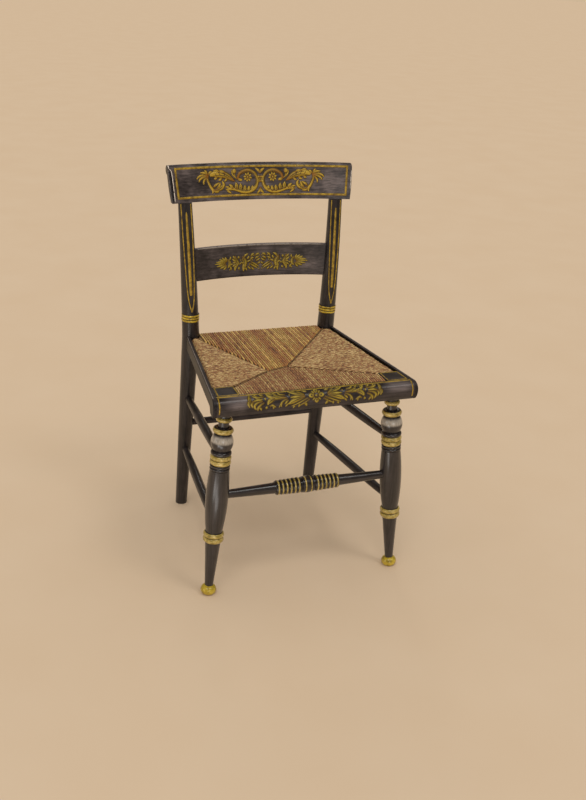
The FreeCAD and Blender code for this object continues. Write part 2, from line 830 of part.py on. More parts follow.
def seam_lines():
    """The five lines where the woven fields meet: four from the corners and a short bridge."""
    join_y = front_rail_y + seam_join_from_rail
    half = seam_bridge_length / 2
    join_left = (seam_bridge_offset - half, join_y - seam_bridge_skew / 2)
    join_right = (seam_bridge_offset + half, join_y + seam_bridge_skew / 2)
    rear_y = post_point(rail_axis_height).y
    return [((-block_inner_x, block_rear_y), join_left), ((-post_half_spacing, rear_y), join_left),
            ((block_inner_x, block_rear_y), join_right), ((post_half_spacing, rear_y), join_right),
            (join_left, join_right)]


def seam_groove(start, end, height, depth):
    """A V groove along a seam in the top or, with a negative depth, in the underside."""
    start, end = V(*start, height), V(*end, height)
    direction = (end - start).normalize()
    sideways = direction.cross(UP) * (seam_groove_width / 2)
    lift = UP * math.copysign(cut_overrun, depth)
    widen = 1 + cut_overrun / abs(depth)
    corners = [start - UP * depth, start + sideways * widen + lift, start - sideways * widen + lift]
    return polygon_face(corners).extrude(end - start)


def seam_slab(start, end):
    """The room that the strands take where they dive between the stuffed pockets."""
    start, end = V(*start, rush_underside), V(*end, rush_underside)
    direction = (end - start).normalize()
    sideways = direction.cross(UP) * (seam_web / 2)
    start -= direction * seam_web / 2
    end += direction * seam_web / 2
    corners = [start - sideways, end - sideways, end + sideways, start + sideways]
    return polygon_face(corners).extrude(UP * (rush_top - rush_underside))


def block_room(grow):
    """The right corner block seen from above, enlarged, through the whole rush."""
    inner_x, front_y, rear_y = block_inner_x - grow, roll_back_y - cut_overrun, block_rear_y + grow
    front_x, rear_x = side_x(roll_back_y) + strip_thickness, side_x(block_rear_y) + strip_thickness
    outline = [(inner_x, front_y), (front_x, front_y), (rear_x, rear_y), (inner_x, rear_y)]
    return plan_block(outline, seat_underside, seat_height + cut_overrun)


def seat_stuffing():
    """Four flat pads of rush waste, one in each pocket between the upper and the lower weave."""
    slack = rush_slack
    start, end = side_rail_line()
    half = rail_width / 2 + slack
    inset = half / math.cos(side_angle)
    front_y, rear_y = front_rail_y + half, end.y - half
    front_x = start.x - inset - side_slope * (front_y - start.y)
    rear_x = start.x - inset - side_slope * (rear_y - start.y)
    ring = [(-front_x, front_y), (front_x, front_y), (rear_x, rear_y), (-rear_x, rear_y)]
    low = rail_axis_height - rail_thickness / 2 + slack
    pads = plan_block(ring, low, low + rail_thickness - 2 * slack)
    rooms = [block_room(stuffing_corner_room), post_blank(stuffing_corner_room)]
    for room in rooms:
        pads = pads.cut(room).cut(mirrored(room))
    for line in seam_lines():
        pads = pads.cut(seam_slab(*line))
    return pads


def rush_seat():
    """The woven seat as one body round the four rails, with its seams and its four pockets."""
    front_y = roll_back_y + rush_slack
    rear_y = post_point(rail_axis_height).y + rail_width / 2 + rush_thickness
    front_x, rear_x = side_x(front_y) - rush_slack, side_x(rear_y) - rush_slack
    outline = [(-front_x, front_y), (front_x, front_y), (rear_x, rear_y), (-rear_x, rear_y)]
    rush = plan_block(outline, rush_underside, rush_top)
    level = [edge for edge in rush.Edges if edge.BoundBox.ZLength < cut_overrun]
    rush = rush.makeFillet(rush_edge_radius, level)
    for room in (block_room(rush_slack), post_blank(rush_slack)):
        rush = rush.cut(room).cut(mirrored(room))
    for start, end in seam_lines():
        rush = rush.cut(seam_groove(start, end, rush_top, seam_groove_depth))
        rush = rush.cut(seam_groove(start, end, rush_underside, -seam_groove_depth))
    for rail in (front_rail_body(rush_slack), rear_rail_body(rush_slack),
                 side_rail_body(rush_slack), mirrored(side_rail_body(rush_slack))):
        rush = rush.cut(rail)
    for pad in seat_stuffing().Solids:
        rush = rush.cut(pad)
    return rush


side_stretcher_heights = ((lower_stretcher_leg_height, lower_stretcher_post_height),
                          (upper_stretcher_leg_height, upper_stretcher_post_height))


def back_post(planed, pin):
    """The right back post with its sockets, mortises and the tenon for the crest."""
    post = planed.fuse(crest_tenon())
    for leg_height, post_height in side_stretcher_heights:
        inside, outside = post_point(post_height), leg_point(leg_height)
        post = post.cut(stretcher_socket(inside, outside, stretcher_tenon_radius))
    inside = post_point(rear_stretcher_height)
    post = post.cut(stretcher_socket(inside, V(0, inside.y, inside.z), stretcher_tenon_radius))
    post = post.cut(rear_tenon(glue_gap)).cut(side_rail_tenons(glue_gap)[1])
    post = post.cut(slat_solid(glue_gap))
    return post.cut(slat_pin(planed)).cut(pin)


def pair(name, right):
    """A right piece and its mirrored left one."""
    return {"right_" + name: right, "left_" + name: mirrored(right)}


def both_sides(solids):
    """Small pieces of one kind from both sides of the chair, as one group."""
    return Part.makeCompound(solids + [mirrored(solid) for solid in solids])


def build():
    planed = planed_post()
    crest = crest_blank()
    peg = crest_pin(crest)
    slat_peg = slat_pin(planed)
    into_roll, into_strip = roll_brads(), strip_brads()
    strip = side_strip_blank(planed)
    roll = roll_blank()
    for brad in into_strip:
        strip = strip.cut(brad)
    for brad in into_roll:
        roll = roll.cut(brad).cut(mirrored(brad))
    mortise = crest_tenon(glue_gap)
    slat = slat_solid().cut(slat_peg).cut(mirrored(slat_peg))

    nodes = {
        "crest_rail": crest.cut(mortise).cut(mirrored(mortise)).cut(peg).cut(mirrored(peg)),
        "back_slat": slat,
        "front_stretcher": front_stretcher(),
        "rear_stretcher": rear_stretcher(),
        "front_seat_rail": front_rail(),
        "rear_seat_rail": rear_rail(planed),
        "front_roll": roll,
        "rush_seat": rush_seat(),
        "seat_stuffing": seat_stuffing(),
        "crest_pegs": both_sides([peg]),
        "slat_pegs": both_sides([slat_peg]),
        "front_roll_brads": both_sides(into_roll),
        "side_strip_brads": both_sides(into_strip),
    }
    nodes.update(pair("back_post", back_post(planed, peg)))
    nodes.update(pair("front_leg", front_leg()))
    nodes.update(pair("corner_block", corner_block(into_roll + into_strip)))
    nodes.update(pair("side_strip", strip))
    nodes.update(pair("side_seat_rail", side_rail(planed)))
    nodes.update(pair("lower_side_stretcher", side_stretcher(*side_stretcher_heights[0])))
    nodes.update(pair("upper_side_stretcher", side_stretcher(*side_stretcher_heights[1])))
    return nodes


def main():
    os.makedirs("parts", exist_ok=True)
    for name, shape in sorted(build().items()):
        solids = shape.Solids
        shape = solids[0] if len(solids) == 1 else Part.makeCompound(solids)
        shape.exportStep(os.path.join("parts", name + ".step"))
        print(name, len(solids), "solids,", "valid" if shape.isValid() else "NOT VALID")


main()
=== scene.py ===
import math
import random

import bpy
from mathutils import Matrix, Vector


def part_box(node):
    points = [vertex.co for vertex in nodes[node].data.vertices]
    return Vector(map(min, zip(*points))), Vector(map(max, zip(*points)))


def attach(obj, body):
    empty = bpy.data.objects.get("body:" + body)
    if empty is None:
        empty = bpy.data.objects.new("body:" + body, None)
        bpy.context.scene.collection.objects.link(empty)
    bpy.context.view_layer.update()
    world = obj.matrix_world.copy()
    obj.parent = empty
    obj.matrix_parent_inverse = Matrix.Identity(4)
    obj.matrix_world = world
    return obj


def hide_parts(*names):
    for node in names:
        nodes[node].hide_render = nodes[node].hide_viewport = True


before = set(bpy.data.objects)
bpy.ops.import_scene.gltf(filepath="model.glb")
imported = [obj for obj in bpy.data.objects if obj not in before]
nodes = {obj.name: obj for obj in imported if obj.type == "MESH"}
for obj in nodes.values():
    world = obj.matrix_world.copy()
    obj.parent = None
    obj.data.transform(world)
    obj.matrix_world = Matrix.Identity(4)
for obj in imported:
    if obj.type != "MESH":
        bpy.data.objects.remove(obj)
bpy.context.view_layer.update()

MM = 0.001
random.seed(7)


# Colours and nodes

def linear(code):
    """An sRGB hex colour as the linear colour that Blender wants."""
    values = [int(code[i:i + 2], 16) / 255 for i in (1, 3, 5)]
    return tuple(v / 12.92 if v <= 0.04045 else ((v + 0.055) / 1.055) ** 2.4
                 for v in values) + (1.0,)


def add(tree, kind, links=None, stops=None, **settings):
    """Adds a node to a tree: its settings, what is linked or set on its inputs, and the stops of a
    ramp. A node that is linked gives its first output."""
    node = tree.nodes.new("ShaderNode" + kind)
    for name, value in settings.items():
        setattr(node, name, value)
    for socket, value in (links or {}).items():
        if isinstance(value, bpy.types.Node):
            value = value.outputs[0]
        if isinstance(value, bpy.types.NodeSocket):
            tree.links.new(value, node.inputs[socket])
        else:
            node.inputs[socket].default_value = value
    if stops:
        marks = node.color_ramp.elements
        while len(marks) < len(stops):
            marks.new(1.0)
        for mark, (place, colour) in zip(marks, stops):
            mark.position = place
            mark.color = linear(colour) if isinstance(colour, str) else (*[colour] * 3, 1.0)
    return node


def new_material(name, **values):
    """An empty material with its shader and output joined, and plain values set on the shader."""
    material = bpy.data.materials.new(name)
    material.use_nodes = True
    tree = material.node_tree
    tree.nodes.clear()
    shader = add(tree, "BsdfPrincipled")
    add(tree, "OutputMaterial", {"Surface": shader})
    for socket, value in values.items():
        shader.inputs[socket.replace("_", " ")].default_value = value
    return material, tree, shader


def per_mm(size):
    """The noise scale whose features are about this many millimetres across."""
    return 1 / (size * MM)


# Paint and gold as they look in even light

BLACK_DEEP = "#0a090c"
BLACK_BROWN = "#1f191b"
# the grey of worn paint, and of the highlights of sheen painted on it
WORN_AND_SHEEN_GREY = "#736765"
# the pale of the highlight painted on each leg's ball
BALL_HIGHLIGHT_PALE = "#aaa093"
RED_UNDERCOAT = "#4a281e"
GOLD_BRIGHT = "#b3932c"
GOLD_OCHRE = "#8d701b"
GOLD_SHADE = "#4c3814"
GOLD_ORANGE = "#8a5813"
OLIVE_GOLDS = ("#7a5916", "#7d691c", "#a28c2f")
RING_GOLDS = ("#5f5120", "#988236", "#c6ae68")
FOOT_GOLDS = ("#665414", "#a48a20", "#ccb238")
COLLAR_GOLDS = ("#5e4812", "#a5871f", "#d3b63c")
LINE_GOLDS = (GOLD_SHADE, GOLD_OCHRE, GOLD_BRIGHT)
POWDER_DARK = "#2c2013"
UMBER = "#584312"
VEIN_BROWN = "#4a3011"
# the tones of highlights painted along edges, and the darker mottle in them
EDGE_HIGHLIGHT_PALE = "#d6cabd"
EDGE_HIGHLIGHT_GREY = "#857b73"
EDGE_HIGHLIGHT_DARK = "#5d534e"

# Marks in the paint, in mm: brush strokes across and along, rubbed clouds and chips. The hairs of a
# brush and the grains of bronze powder are finer than the render shows, so they are drawn as coarse
# as they need to show.
BRUSH_MARK = 3.6
BRUSH_PULL = 80
RUBBED_CLOUD = 46
CHIP = 3.2
PAINT_RELIEF = 0.12
POWDER_GRAIN = 1.1
POWDER_DRIFT = 9


def paint_layers(tree, grain_axis, rubbing=0.4, top_sheen=0.0, sheen_spots=(), shaded_sides=False):
    """Colour, roughness and height of old black paint brushed along the grain of one piece.
    rubbing is how grey the worn clouds are, and dusty how much grey highlight is painted on the
    faces that look up. patches are highlights of sheen painted in grey: across and up, the reach to
    each side in mm, which is half as much up and down, and how grey. shaded_sides paints shade deep
    black on the faces that look left and right."""
    coordinates = add(tree, "TexCoord")
    place = coordinates.outputs["Object"]
    stretch = [per_mm(BRUSH_MARK)] * 3
    stretch["XYZ".index(grain_axis)] = per_mm(BRUSH_PULL)
    along = add(tree, "Mapping", {"Vector": place, "Scale": stretch})
    brushed = add(tree, "TexNoise", {"Vector": along, "Scale": 1.0, "Detail": 5.0,
                                     "Roughness": 0.6})
    clouds = add(tree, "TexNoise", {"Vector": place, "Scale": per_mm(RUBBED_CLOUD), "Detail": 3.0,
                                    "Roughness": 0.6})
    flecks = add(tree, "TexNoise", {"Vector": place, "Scale": per_mm(CHIP), "Detail": 6.0,
                                    "Roughness": 0.7})
    base = add(tree, "ValToRGB", {"Fac": brushed}, [(0.36, BLACK_DEEP), (0.66, BLACK_BROWN)])
    streaks = add(tree, "ValToRGB", {"Fac": brushed}, [(0.36, 0.35), (0.66, 1.0)])
    worn = add(tree, "ValToRGB", {"Fac": clouds}, [(0.38, 0.25 * rubbing), (0.66, rubbing)])
    flat = add(tree, "VectorMath", {0: place, 1: (1, 0, 2)}, operation="MULTIPLY")
    # painted highlights: a grey sheen round each given place
    for across, up, reach, grey in sheen_spots:
        away = add(tree, "VectorMath", {0: flat, 1: (across * MM, 0, 2 * up * MM)},
                   operation="DISTANCE")
        near = add(tree, "MapRange", {"Value": away.outputs["Value"], "From Min": reach * MM,
                                      "From Max": 0.2 * reach * MM, "To Max": grey},
                   interpolation_type="SMOOTHSTEP")
        worn = add(tree, "Math", {0: worn, 1: near}, operation="ADD", use_clamp=True)
    wear_and_sheen = add(tree, "Math", {0: worn, 1: streaks}, operation="MULTIPLY")
    colour = add(tree, "Mix", {0: wear_and_sheen, 6: base, 7: linear(WORN_AND_SHEEN_GREY)},
                 data_type="RGBA").outputs[2]
    if top_sheen or shaded_sides:
        facing = add(tree, "SeparateXYZ", {0: coordinates.outputs["Normal"]})
    # painted highlight: the faces that look up turn grey
    if top_sheen:
        top_light = add(tree, "MapRange", {"Value": facing.outputs[2], "From Min": 0.6,
                                        "From Max": 0.95, "To Max": top_sheen})
        colour = add(tree, "Mix", {0: top_light, 6: colour, 7: linear(WORN_AND_SHEEN_GREY)},
                     data_type="RGBA").outputs[2]
    # painted shade: the faces that look left and right turn deep black
    if shaded_sides:
        sideways = add(tree, "Math", {0: facing}, operation="ABSOLUTE")
        deep = add(tree, "MapRange", {"Value": sideways, "From Min": 0.6, "From Max": 0.9})
        colour = add(tree, "Mix", {0: deep, 6: colour, 7: linear(BLACK_DEEP)},
                     data_type="RGBA").outputs[2]
    chips = add(tree, "ValToRGB", {"Fac": flecks}, [(0.66, 0.0), (0.7, 0.7)])
    chipped = add(tree, "Mix", {0: chips, 6: colour, 7: linear(RED_UNDERCOAT)}, data_type="RGBA")
    rough = add(tree, "MapRange", {"Value": brushed, "To Min": 0.34, "To Max": 0.5})
    height = add(tree, "Math", {0: brushed, 1: chips}, operation="SUBTRACT")
    return place, chipped.outputs[2], rough.outputs[0], height.outputs[0]


def gold_layers(tree, place, golds):
    """Colour of bronze powder rubbed on tacky varnish: ochre with brighter and browner clouds."""
    powder = add(tree, "TexNoise", {"Vector": place, "Scale": per_mm(POWDER_GRAIN), "Detail": 5.0,
                                    "Roughness": 0.75})
    drift = add(tree, "TexNoise", {"Vector": place, "Scale": per_mm(POWDER_DRIFT), "Detail": 2.0})
    blend = add(tree, "Mix", {0: 0.5, 2: powder, 3: drift}, data_type="FLOAT")
    return add(tree, "ValToRGB", {"Fac": blend}, list(zip((0.34, 0.46, 0.6), golds))).outputs[0]


def finish_paint(tree, shader, colour, rough, height, varnish):
    """Joins the layers to the shader. The varnish is a thin clear coat, whole on turned wood and
    worn thin on the flat."""
    bump = add(tree, "Bump", {"Height": height, "Strength": 0.5, "Distance": PAINT_RELIEF * MM})
    tree.links.new(colour, shader.inputs["Base Color"])
    tree.links.new(rough, shader.inputs["Roughness"])
    tree.links.new(bump.outputs[0], shader.inputs["Normal"])
    shader.inputs["Specular IOR Level"].default_value = 0.25
    shader.inputs["Coat Weight"].default_value = varnish
    shader.inputs["Coat Roughness"].default_value = 0.2


def black_paint(name, grain_axis, rubbing=0.4, top_sheen=0.0, sheen_spots=(), shaded_sides=False,
                varnish=0.3):
    """Lampblack oil paint over red, under aged varnish: near black and rubbed grey in clouds, with
    the painted highlights and painted shade that it is given."""
    material, tree, shader = new_material(name)
    layers = paint_layers(tree, grain_axis, rubbing, top_sheen, sheen_spots, shaded_sides)
    finish_paint(tree, shader, *layers[1:], varnish)
    return material


# Gold rings on turned wood, in mm: how far the painter's hand shakes and over what length, the worn
# spots in the gold, and the streaks in the pale highlight painted on a ball's shoulder

TURNED_RUBBING = 0.1
RING_SHAKE = 0.5
RING_WOBBLE = 14
RING_WEAR = 5
HIGHLIGHT_STREAK = (3, 3, 26)
POWDER_METAL = 0.25


def banded_paint(name, grain_axis, start, direction, bands, golds=RING_GOLDS, mirror=False, foot=0,
                 shoulder_highlights=(), varnish=1.0):
    """Black paint on a turned piece with gold on some of its rings. Bands are in mm from the start,
    below foot mm the gold is a yellower one, and shoulders are the stretches where a pale highlight
    is painted in streaks."""
    material, tree, shader = new_material(name)
    place, colour, rough, height = paint_layers(tree, grain_axis, TURNED_RUBBING)
    offset = add(tree, "VectorMath", {0: place, 1: start}, operation="SUBTRACT")
    if mirror:
        offset = add(tree, "VectorMath", {0: offset}, operation="ABSOLUTE")
    along = add(tree, "VectorMath", {0: offset, 1: direction}, operation="DOT_PRODUCT")
    wobble = add(tree, "TexNoise", {"Vector": place, "Scale": per_mm(RING_WOBBLE), "Detail": 3.0})
    shake = add(tree, "MapRange", {"Value": wobble, "To Min": -RING_SHAKE * MM,
                                   "To Max": RING_SHAKE * MM})
    shaken = add(tree, "Math", {0: along.outputs["Value"], 1: shake}, operation="ADD")
    highlight_streak_place = add(tree, "Mapping", {"Vector": place, "Scale": [per_mm(s) for s in HIGHLIGHT_STREAK]})
    streaks = add(tree, "TexNoise", {"Vector": highlight_streak_place, "Scale": 1.0, "Detail": 3.0})
    streaky_highlight = add(tree, "MapRange", {"Value": streaks, "From Min": 0.3, "From Max": 0.62,
                                    "To Min": 0.5, "To Max": 0.85})
    # painted highlight: pale streaks over the shoulder of a ball
    for low, high in shoulder_highlights:
        middle, half = (low + high) / 2 * MM, (high - low) / 2 * MM
        off = add(tree, "Math", {0: shaken, 1: middle}, operation="SUBTRACT")
        away = add(tree, "Math", {0: off}, operation="ABSOLUTE")
        pale_highlight = add(tree, "MapRange", {"Value": away, "From Min": half, "From Max": 0.35 * half},
                   interpolation_type="SMOOTHSTEP")
        share = add(tree, "Math", {0: pale_highlight, 1: streaky_highlight}, operation="MULTIPLY")
        colour = add(tree, "Mix", {0: share, 6: colour, 7: linear(BALL_HIGHLIGHT_PALE)},
                     data_type="RGBA").outputs[2]
    gilt = None
    for low, high in bands:
        middle, half = (low + high) / 2 * MM, (high - low) / 2 * MM
        inside = add(tree, "Math", {0: shaken, 1: middle, 2: half}, operation="COMPARE")
        gilt = add(tree, "Math", {0: gilt, 1: inside}, operation="MAXIMUM") if gilt else inside
    rub = add(tree, "TexNoise", {"Vector": place, "Scale": per_mm(RING_WEAR), "Detail": 6.0,
                                 "Roughness": 0.7})
    kept = add(tree, "ValToRGB", {"Fac": rub}, [(0.3, 0.35), (0.42, 1.0)])
    share = add(tree, "Math", {0: gilt, 1: kept}, operation="MULTIPLY")
    gold = gold_layers(tree, place, golds)
    if foot:
        below = add(tree, "Math", {0: shaken, 1: foot * MM}, operation="LESS_THAN")
        gold = add(tree, "Mix", {0: below, 6: gold, 7: gold_layers(tree, place, FOOT_GOLDS)},
                   data_type="RGBA").outputs[2]
    both = add(tree, "Mix", {0: share, 6: colour, 7: gold}, data_type="RGBA")
    metal = add(tree, "Math", {0: share, 1: POWDER_METAL}, operation="MULTIPLY")
    tree.links.new(metal.outputs[0], shader.inputs["Metallic"])
    finish_paint(tree, shader, both.outputs[2], rough, height, varnish)
    return material


def stencil_gold(name, stalk, middle, tip):
    """Bronze powders pounced through a stencil: one tone at the stalk of each leaf, a paler gold
    towards its tip, and brown where the powder thins at the edge."""
    material, tree, shader = new_material(name, Metallic=POWDER_METAL, Roughness=0.42)
    coordinates = add(tree, "TexCoord")
    split = add(tree, "SeparateXYZ", {0: coordinates.outputs["UV"]})
    across = add(tree, "Math", {0: split.outputs[1], 1: 0.5}, operation="SUBTRACT")
    off_middle = add(tree, "Math", {0: across}, operation="ABSOLUTE")
    powder = add(tree, "TexNoise", {"Vector": coordinates.outputs["Object"], "Scale": per_mm(2.4),
                                    "Detail": 5.0, "Roughness": 0.7})
    speckle = add(tree, "MapRange", {"Value": powder, "To Min": -0.3, "To Max": 0.3})
    along = add(tree, "Math", {0: split, 1: speckle}, operation="ADD")
    body = add(tree, "ValToRGB", {"Fac": along}, [(0.02, stalk), (0.25, middle), (0.6, tip)])
    edge = add(tree, "Math", {0: off_middle, 1: speckle}, operation="ADD")
    thin = add(tree, "ValToRGB", {"Fac": edge}, [(0.3, 0.0), (0.55, 0.75)])
    colour = add(tree, "Mix", {0: thin, 6: body, 7: linear(GOLD_SHADE)}, data_type="RGBA")
    tree.links.new(colour.outputs[2], shader.inputs["Base Color"])
    return material


def striping_gold():
    """Gold size and powder drawn with a striping brush: even ochre, thin in places."""
    material, tree, shader = new_material("brushed_gold_striping", Metallic=POWDER_METAL,
                                          Roughness=0.4)
    place = add(tree, "TexCoord").outputs["Object"]
    tree.links.new(gold_layers(tree, place, LINE_GOLDS), shader.inputs["Base Color"])
    return material


def mottled(name, grain, stops, detail=4.0, broken=0.5, **values):
    """A finish of two tones that pass into each other. grain is the size of its marks in mm, one or
    three, detail and broken are how much finer marks there are in them."""
    material, tree, shader = new_material(name, **values)
    sizes = grain if isinstance(grain, tuple) else (grain,) * 3
    place = add(tree, "TexCoord").outputs["Object"]
    shape = add(tree, "Mapping", {"Vector": place, "Scale": [per_mm(size) for size in sizes]})
    marks = add(tree, "TexNoise", {"Vector": shape, "Scale": 1.0, "Detail": detail,
                                   "Roughness": broken})
    colour = add(tree, "ValToRGB", {"Fac": marks}, stops)
    tree.links.new(colour.outputs[0], shader.inputs["Base Color"])
    return material


def thin_powder(name, tone):
    """The haze of powder round each stencilled leaf, and its veins: brown, half lost in the
    black."""
    return mottled(name, 2.2, [(0.38, POWDER_DARK), (0.6, tone)], 5.0, 0.7, Roughness=0.45)


def edge_highlight(name, tone):
    """A highlight painted along the corner of the wood in the given tone, mottled a little darker.
    """
    return mottled(name, 7, [(0.3, EDGE_HIGHLIGHT_DARK), (0.46, tone)], Roughness=0.5)


def seam_shade_cord():
    """A dark cord laid along each seam as painted shade in its groove: umber with a little straw.
    """
    return mottled("umber_rush_as_painted_shade_in_seams", 3, [(0.4, "#3f2a14"), (0.66, "#8a6638")], Roughness=0.8)


def bare_maple():
    """Unpainted rived maple: pale brown with grain along the rail."""
    return mottled("bare_rived_maple", (30, 2, 2), [(0.35, "#7d5b38"), (0.65, "#b08a5c")], 6.0,
                   Roughness=0.6)


def cut_iron():
    """Cut iron brads, set and painted over: dark with a trace of rust."""
    return mottled("painted_cut_iron", 1.2, [(0.45, "#231e1d"), (0.7, "#4b2e20")], 5.0,
                   Metallic=0.6, Roughness=0.55)


# Rush, in mm: from strand to strand, half a turn of the twist, and a patch that the sun has
# bleached. A leaf in a strand is drawn about as wide as it is.

STRAND_PITCH = 5.2
TWIST_LENGTH = 8.5
SUN_BLEACHED_PATCH = 48
RUSH_SHADOW = "#55361c"
RUSH_DARK = "#6a4726"
RUSH_RED = "#a3693c"
RUSH_TAN = "#b28350"
RUSH_OLIVE = "#a18a4c"
RUSH_STRAW = "#dcba80"
RUSH_TONES = [(0.12, RUSH_DARK), (0.32, RUSH_RED), (0.5, RUSH_TAN), (0.64, RUSH_OLIVE),
              (0.86, RUSH_STRAW)]


def twisted_rush(name, along_axis, leaf_length, own_share, tint="#ffffff", depth=0.0, ply_shade=0.3,
                 leaf_width=2.6, gap_shade=(0.3, 0.7)):
    """Cattail leaves twisted to cord: tan with straw, reddish and olive leaves, and shade painted
    dark between strands. own_share is how much each strand keeps one tone of its own, depth moves a
    field to its darker leaves, ply_shade is how dark the shade painted in the cleft between two
    plies is, and clefts says how far from a strand's middle the shade painted between two strands
    begins, and how dark it grows."""
    material, tree, shader = new_material(name, Roughness=0.62, Sheen_Weight=0.1)
    place = add(tree, "TexCoord").outputs["Object"]
    split = add(tree, "SeparateXYZ", {0: place})
    across = split.outputs["XYZ".index("Y" if along_axis == "X" else "X")]
    count = add(tree, "Math", {0: across, 1: per_mm(STRAND_PITCH)}, operation="MULTIPLY")
    strand = add(tree, "Math", {0: count}, operation="ROUND")
    own = add(tree, "TexWhiteNoise", {"W": strand}, noise_dimensions="1D")
    stretch = [per_mm(leaf_width)] * 3
    stretch["XYZ".index(along_axis)] = per_mm(leaf_length)
    shape = add(tree, "Mapping", {"Vector": place, "Scale": stretch})
    leaf = add(tree, "TexNoise", {"Vector": shape, "Scale": 1.0, "Detail": 4.0, "Roughness": 0.65})
    spread = add(tree, "MapRange", {"Value": leaf, "From Min": 0.38, "From Max": 0.62})
    patch = add(tree, "TexNoise", {"Vector": place, "Scale": per_mm(SUN_BLEACHED_PATCH),
                                   "Detail": 3.0})
    mixed = add(tree, "Mix", {0: own_share, 2: spread, 3: own}, data_type="FLOAT")
    drift = add(tree, "MapRange", {"Value": patch, "To Min": -0.22 - depth, "To Max": 0.22 - depth})
    tone = add(tree, "Math", {0: mixed, 1: drift}, operation="ADD")
    dry = add(tree, "ValToRGB", {"Fac": tone}, RUSH_TONES)
    warm = add(tree, "Mix", {0: 1.0, 6: dry, 7: linear(tint)}, data_type="RGBA",
               blend_type="MULTIPLY")
    off_middle = add(tree, "Math", {0: count, 1: strand}, operation="SUBTRACT")
    sideways = add(tree, "Math", {0: off_middle}, operation="ABSOLUTE")
    groove = add(tree, "MapRange", {"Value": sideways, "From Min": gap_shade[0], "From Max": 0.5,
                                    "To Max": gap_shade[1]})
    length = add(tree, "Math", {0: split.outputs["XYZ".index(along_axis)],
                                1: per_mm(TWIST_LENGTH)}, operation="MULTIPLY")
    start = add(tree, "Math", {0: own, 1: 7.0, 2: leaf}, operation="MULTIPLY_ADD")
    lean = add(tree, "Math", {0: off_middle, 1: start}, operation="ADD")
    turn = add(tree, "Math", {0: length, 1: lean}, operation="ADD")
    ply = add(tree, "Math", {0: turn, 1: 0.5}, operation="PINGPONG")
    cleft = add(tree, "MapRange", {"Value": ply, "From Min": 0.32, "From Max": 0.5,
                                   "To Max": ply_shade})
    shadow = add(tree, "Math", {0: groove, 1: cleft}, operation="MAXIMUM")
    colour = add(tree, "Mix", {0: shadow, 6: warm.outputs[2], 7: linear(RUSH_SHADOW)},
                 data_type="RGBA")
    bump = add(tree, "Bump", {"Height": leaf, "Strength": 0.7, "Distance": 0.5 * MM})
    tree.links.new(colour.outputs[2], shader.inputs["Base Color"])
    tree.links.new(bump.outputs[0], shader.inputs["Normal"])
    return material


def dress(node_name, material):
    """Gives a CAD node its finish."""
    node = nodes[node_name]
    node.data.materials.clear()
    node.data.materials.append(material)


# Where things are, in mm: read from the frame, and the sizes that the chair was built with

def place_of(node_name):
    """The lowest and the highest corner of a CAD node."""
    low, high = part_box(node_name)
    return Vector(low) / MM, Vector(high) / MM


block_low, block_high = place_of("right_corner_block")
roll_low, roll_high = place_of("front_roll")
slat_high = place_of("back_slat")[1]
front_rail_low, front_rail_high = place_of("front_seat_rail")
rear_rail_low, rear_rail_high = place_of("rear_seat_rail")
seat_top = block_high.z
seat_underside = block_low.z

LEG_HALF_SPACING = 189.0
LEG_SPLAY = Vector((29.0, -18.0))
LEG_BEHIND_ROLL = 19.0
BLOCK_OUTER = 25.0
LEG_TO_POST = 337.0
STRIP_THICKNESS = 8.5
STRIP_REAR_OFFSET = 4.0
POST_HALF_SPACING = 169.0
POST_SPREAD = 12.0
POST_RADII = (20.0, 15.6)
CREST_BASE = 768.0
LEG_TOP = Vector((LEG_HALF_SPACING, roll_high.y + LEG_BEHIND_ROLL, seat_underside))
LEG_FOOT = Vector((LEG_HALF_SPACING + LEG_SPLAY.x, LEG_TOP.y + LEG_SPLAY.y, 0.0))
LEG_LENGTH = (LEG_TOP - LEG_FOOT).length


def side_face(y):
    """The inner face of the right side strip."""
    front = LEG_HALF_SPACING + BLOCK_OUTER
    rear = POST_HALF_SPACING + STRIP_REAR_OFFSET
    return front - (front - rear) / LEG_TO_POST * (y - LEG_TOP.y)


def post_x(z):
    """Across to the middle of the right post's front at a height."""
    return POST_HALF_SPACING + POST_SPREAD * (z - seat_top) / (CREST_BASE - seat_top)


# Paint on the wood. Gold bands are in mm: on a leg from its foot or its top, on a post on each bead
# from the base of its collar, and on the front stretcher on each rib, counted from its middle

LEG_GOLD_FROM_FOOT = [(-5, 20.5), (128.2, 139.0), (140.0, 150.8)]
LEG_GOLD_FROM_TOP = [(-25.5, -16.5), (-50.0, -39.5), (-120.8, -110.7), (-109.8, -99.7)]
# where the pale highlight is painted on the upper half of each ball, from the top
LEG_BALL_HIGHLIGHT_FROM_TOP = [(-73.0, -53.0)]
FOOT_GOLD_TO = 24
COLLAR_BASE = 500.0
COLLAR_BEAD = 6.0
COLLAR_BEADS = 3
COLLAR_GOLD = (0.9, 5.1)
RIBS_FROM_MIDDLE = 17.0
RIB_LENGTH = 9.3
RIBS = 6
RIB_GOLD = (3.1, 6.2)
BARREL_GOLD = (5.2, 7.8)


def paint_legs():
    """Black legs with gold on the foot, the rings and the double beads, and a pale highlight
    painted on each ball.
    """
    bands, ball = ([(LEG_LENGTH + low, LEG_LENGTH + high) for low, high in marks]
                   for marks in (LEG_GOLD_FROM_TOP, LEG_BALL_HIGHLIGHT_FROM_TOP))
    for side, sign in (("right", 1), ("left", -1)):
        foot = Vector((sign * LEG_FOOT.x, LEG_FOOT.y, LEG_FOOT.z))
        top = Vector((sign * LEG_TOP.x, LEG_TOP.y, LEG_TOP.z))
        paint = banded_paint("black_and_gold_" + side + "_leg", "Z", foot * MM,
                             (top - foot).normalized(), LEG_GOLD_FROM_FOOT + bands,
                             foot=FOOT_GOLD_TO, shoulder_highlights=ball)
        dress(side + "_front_leg", paint)


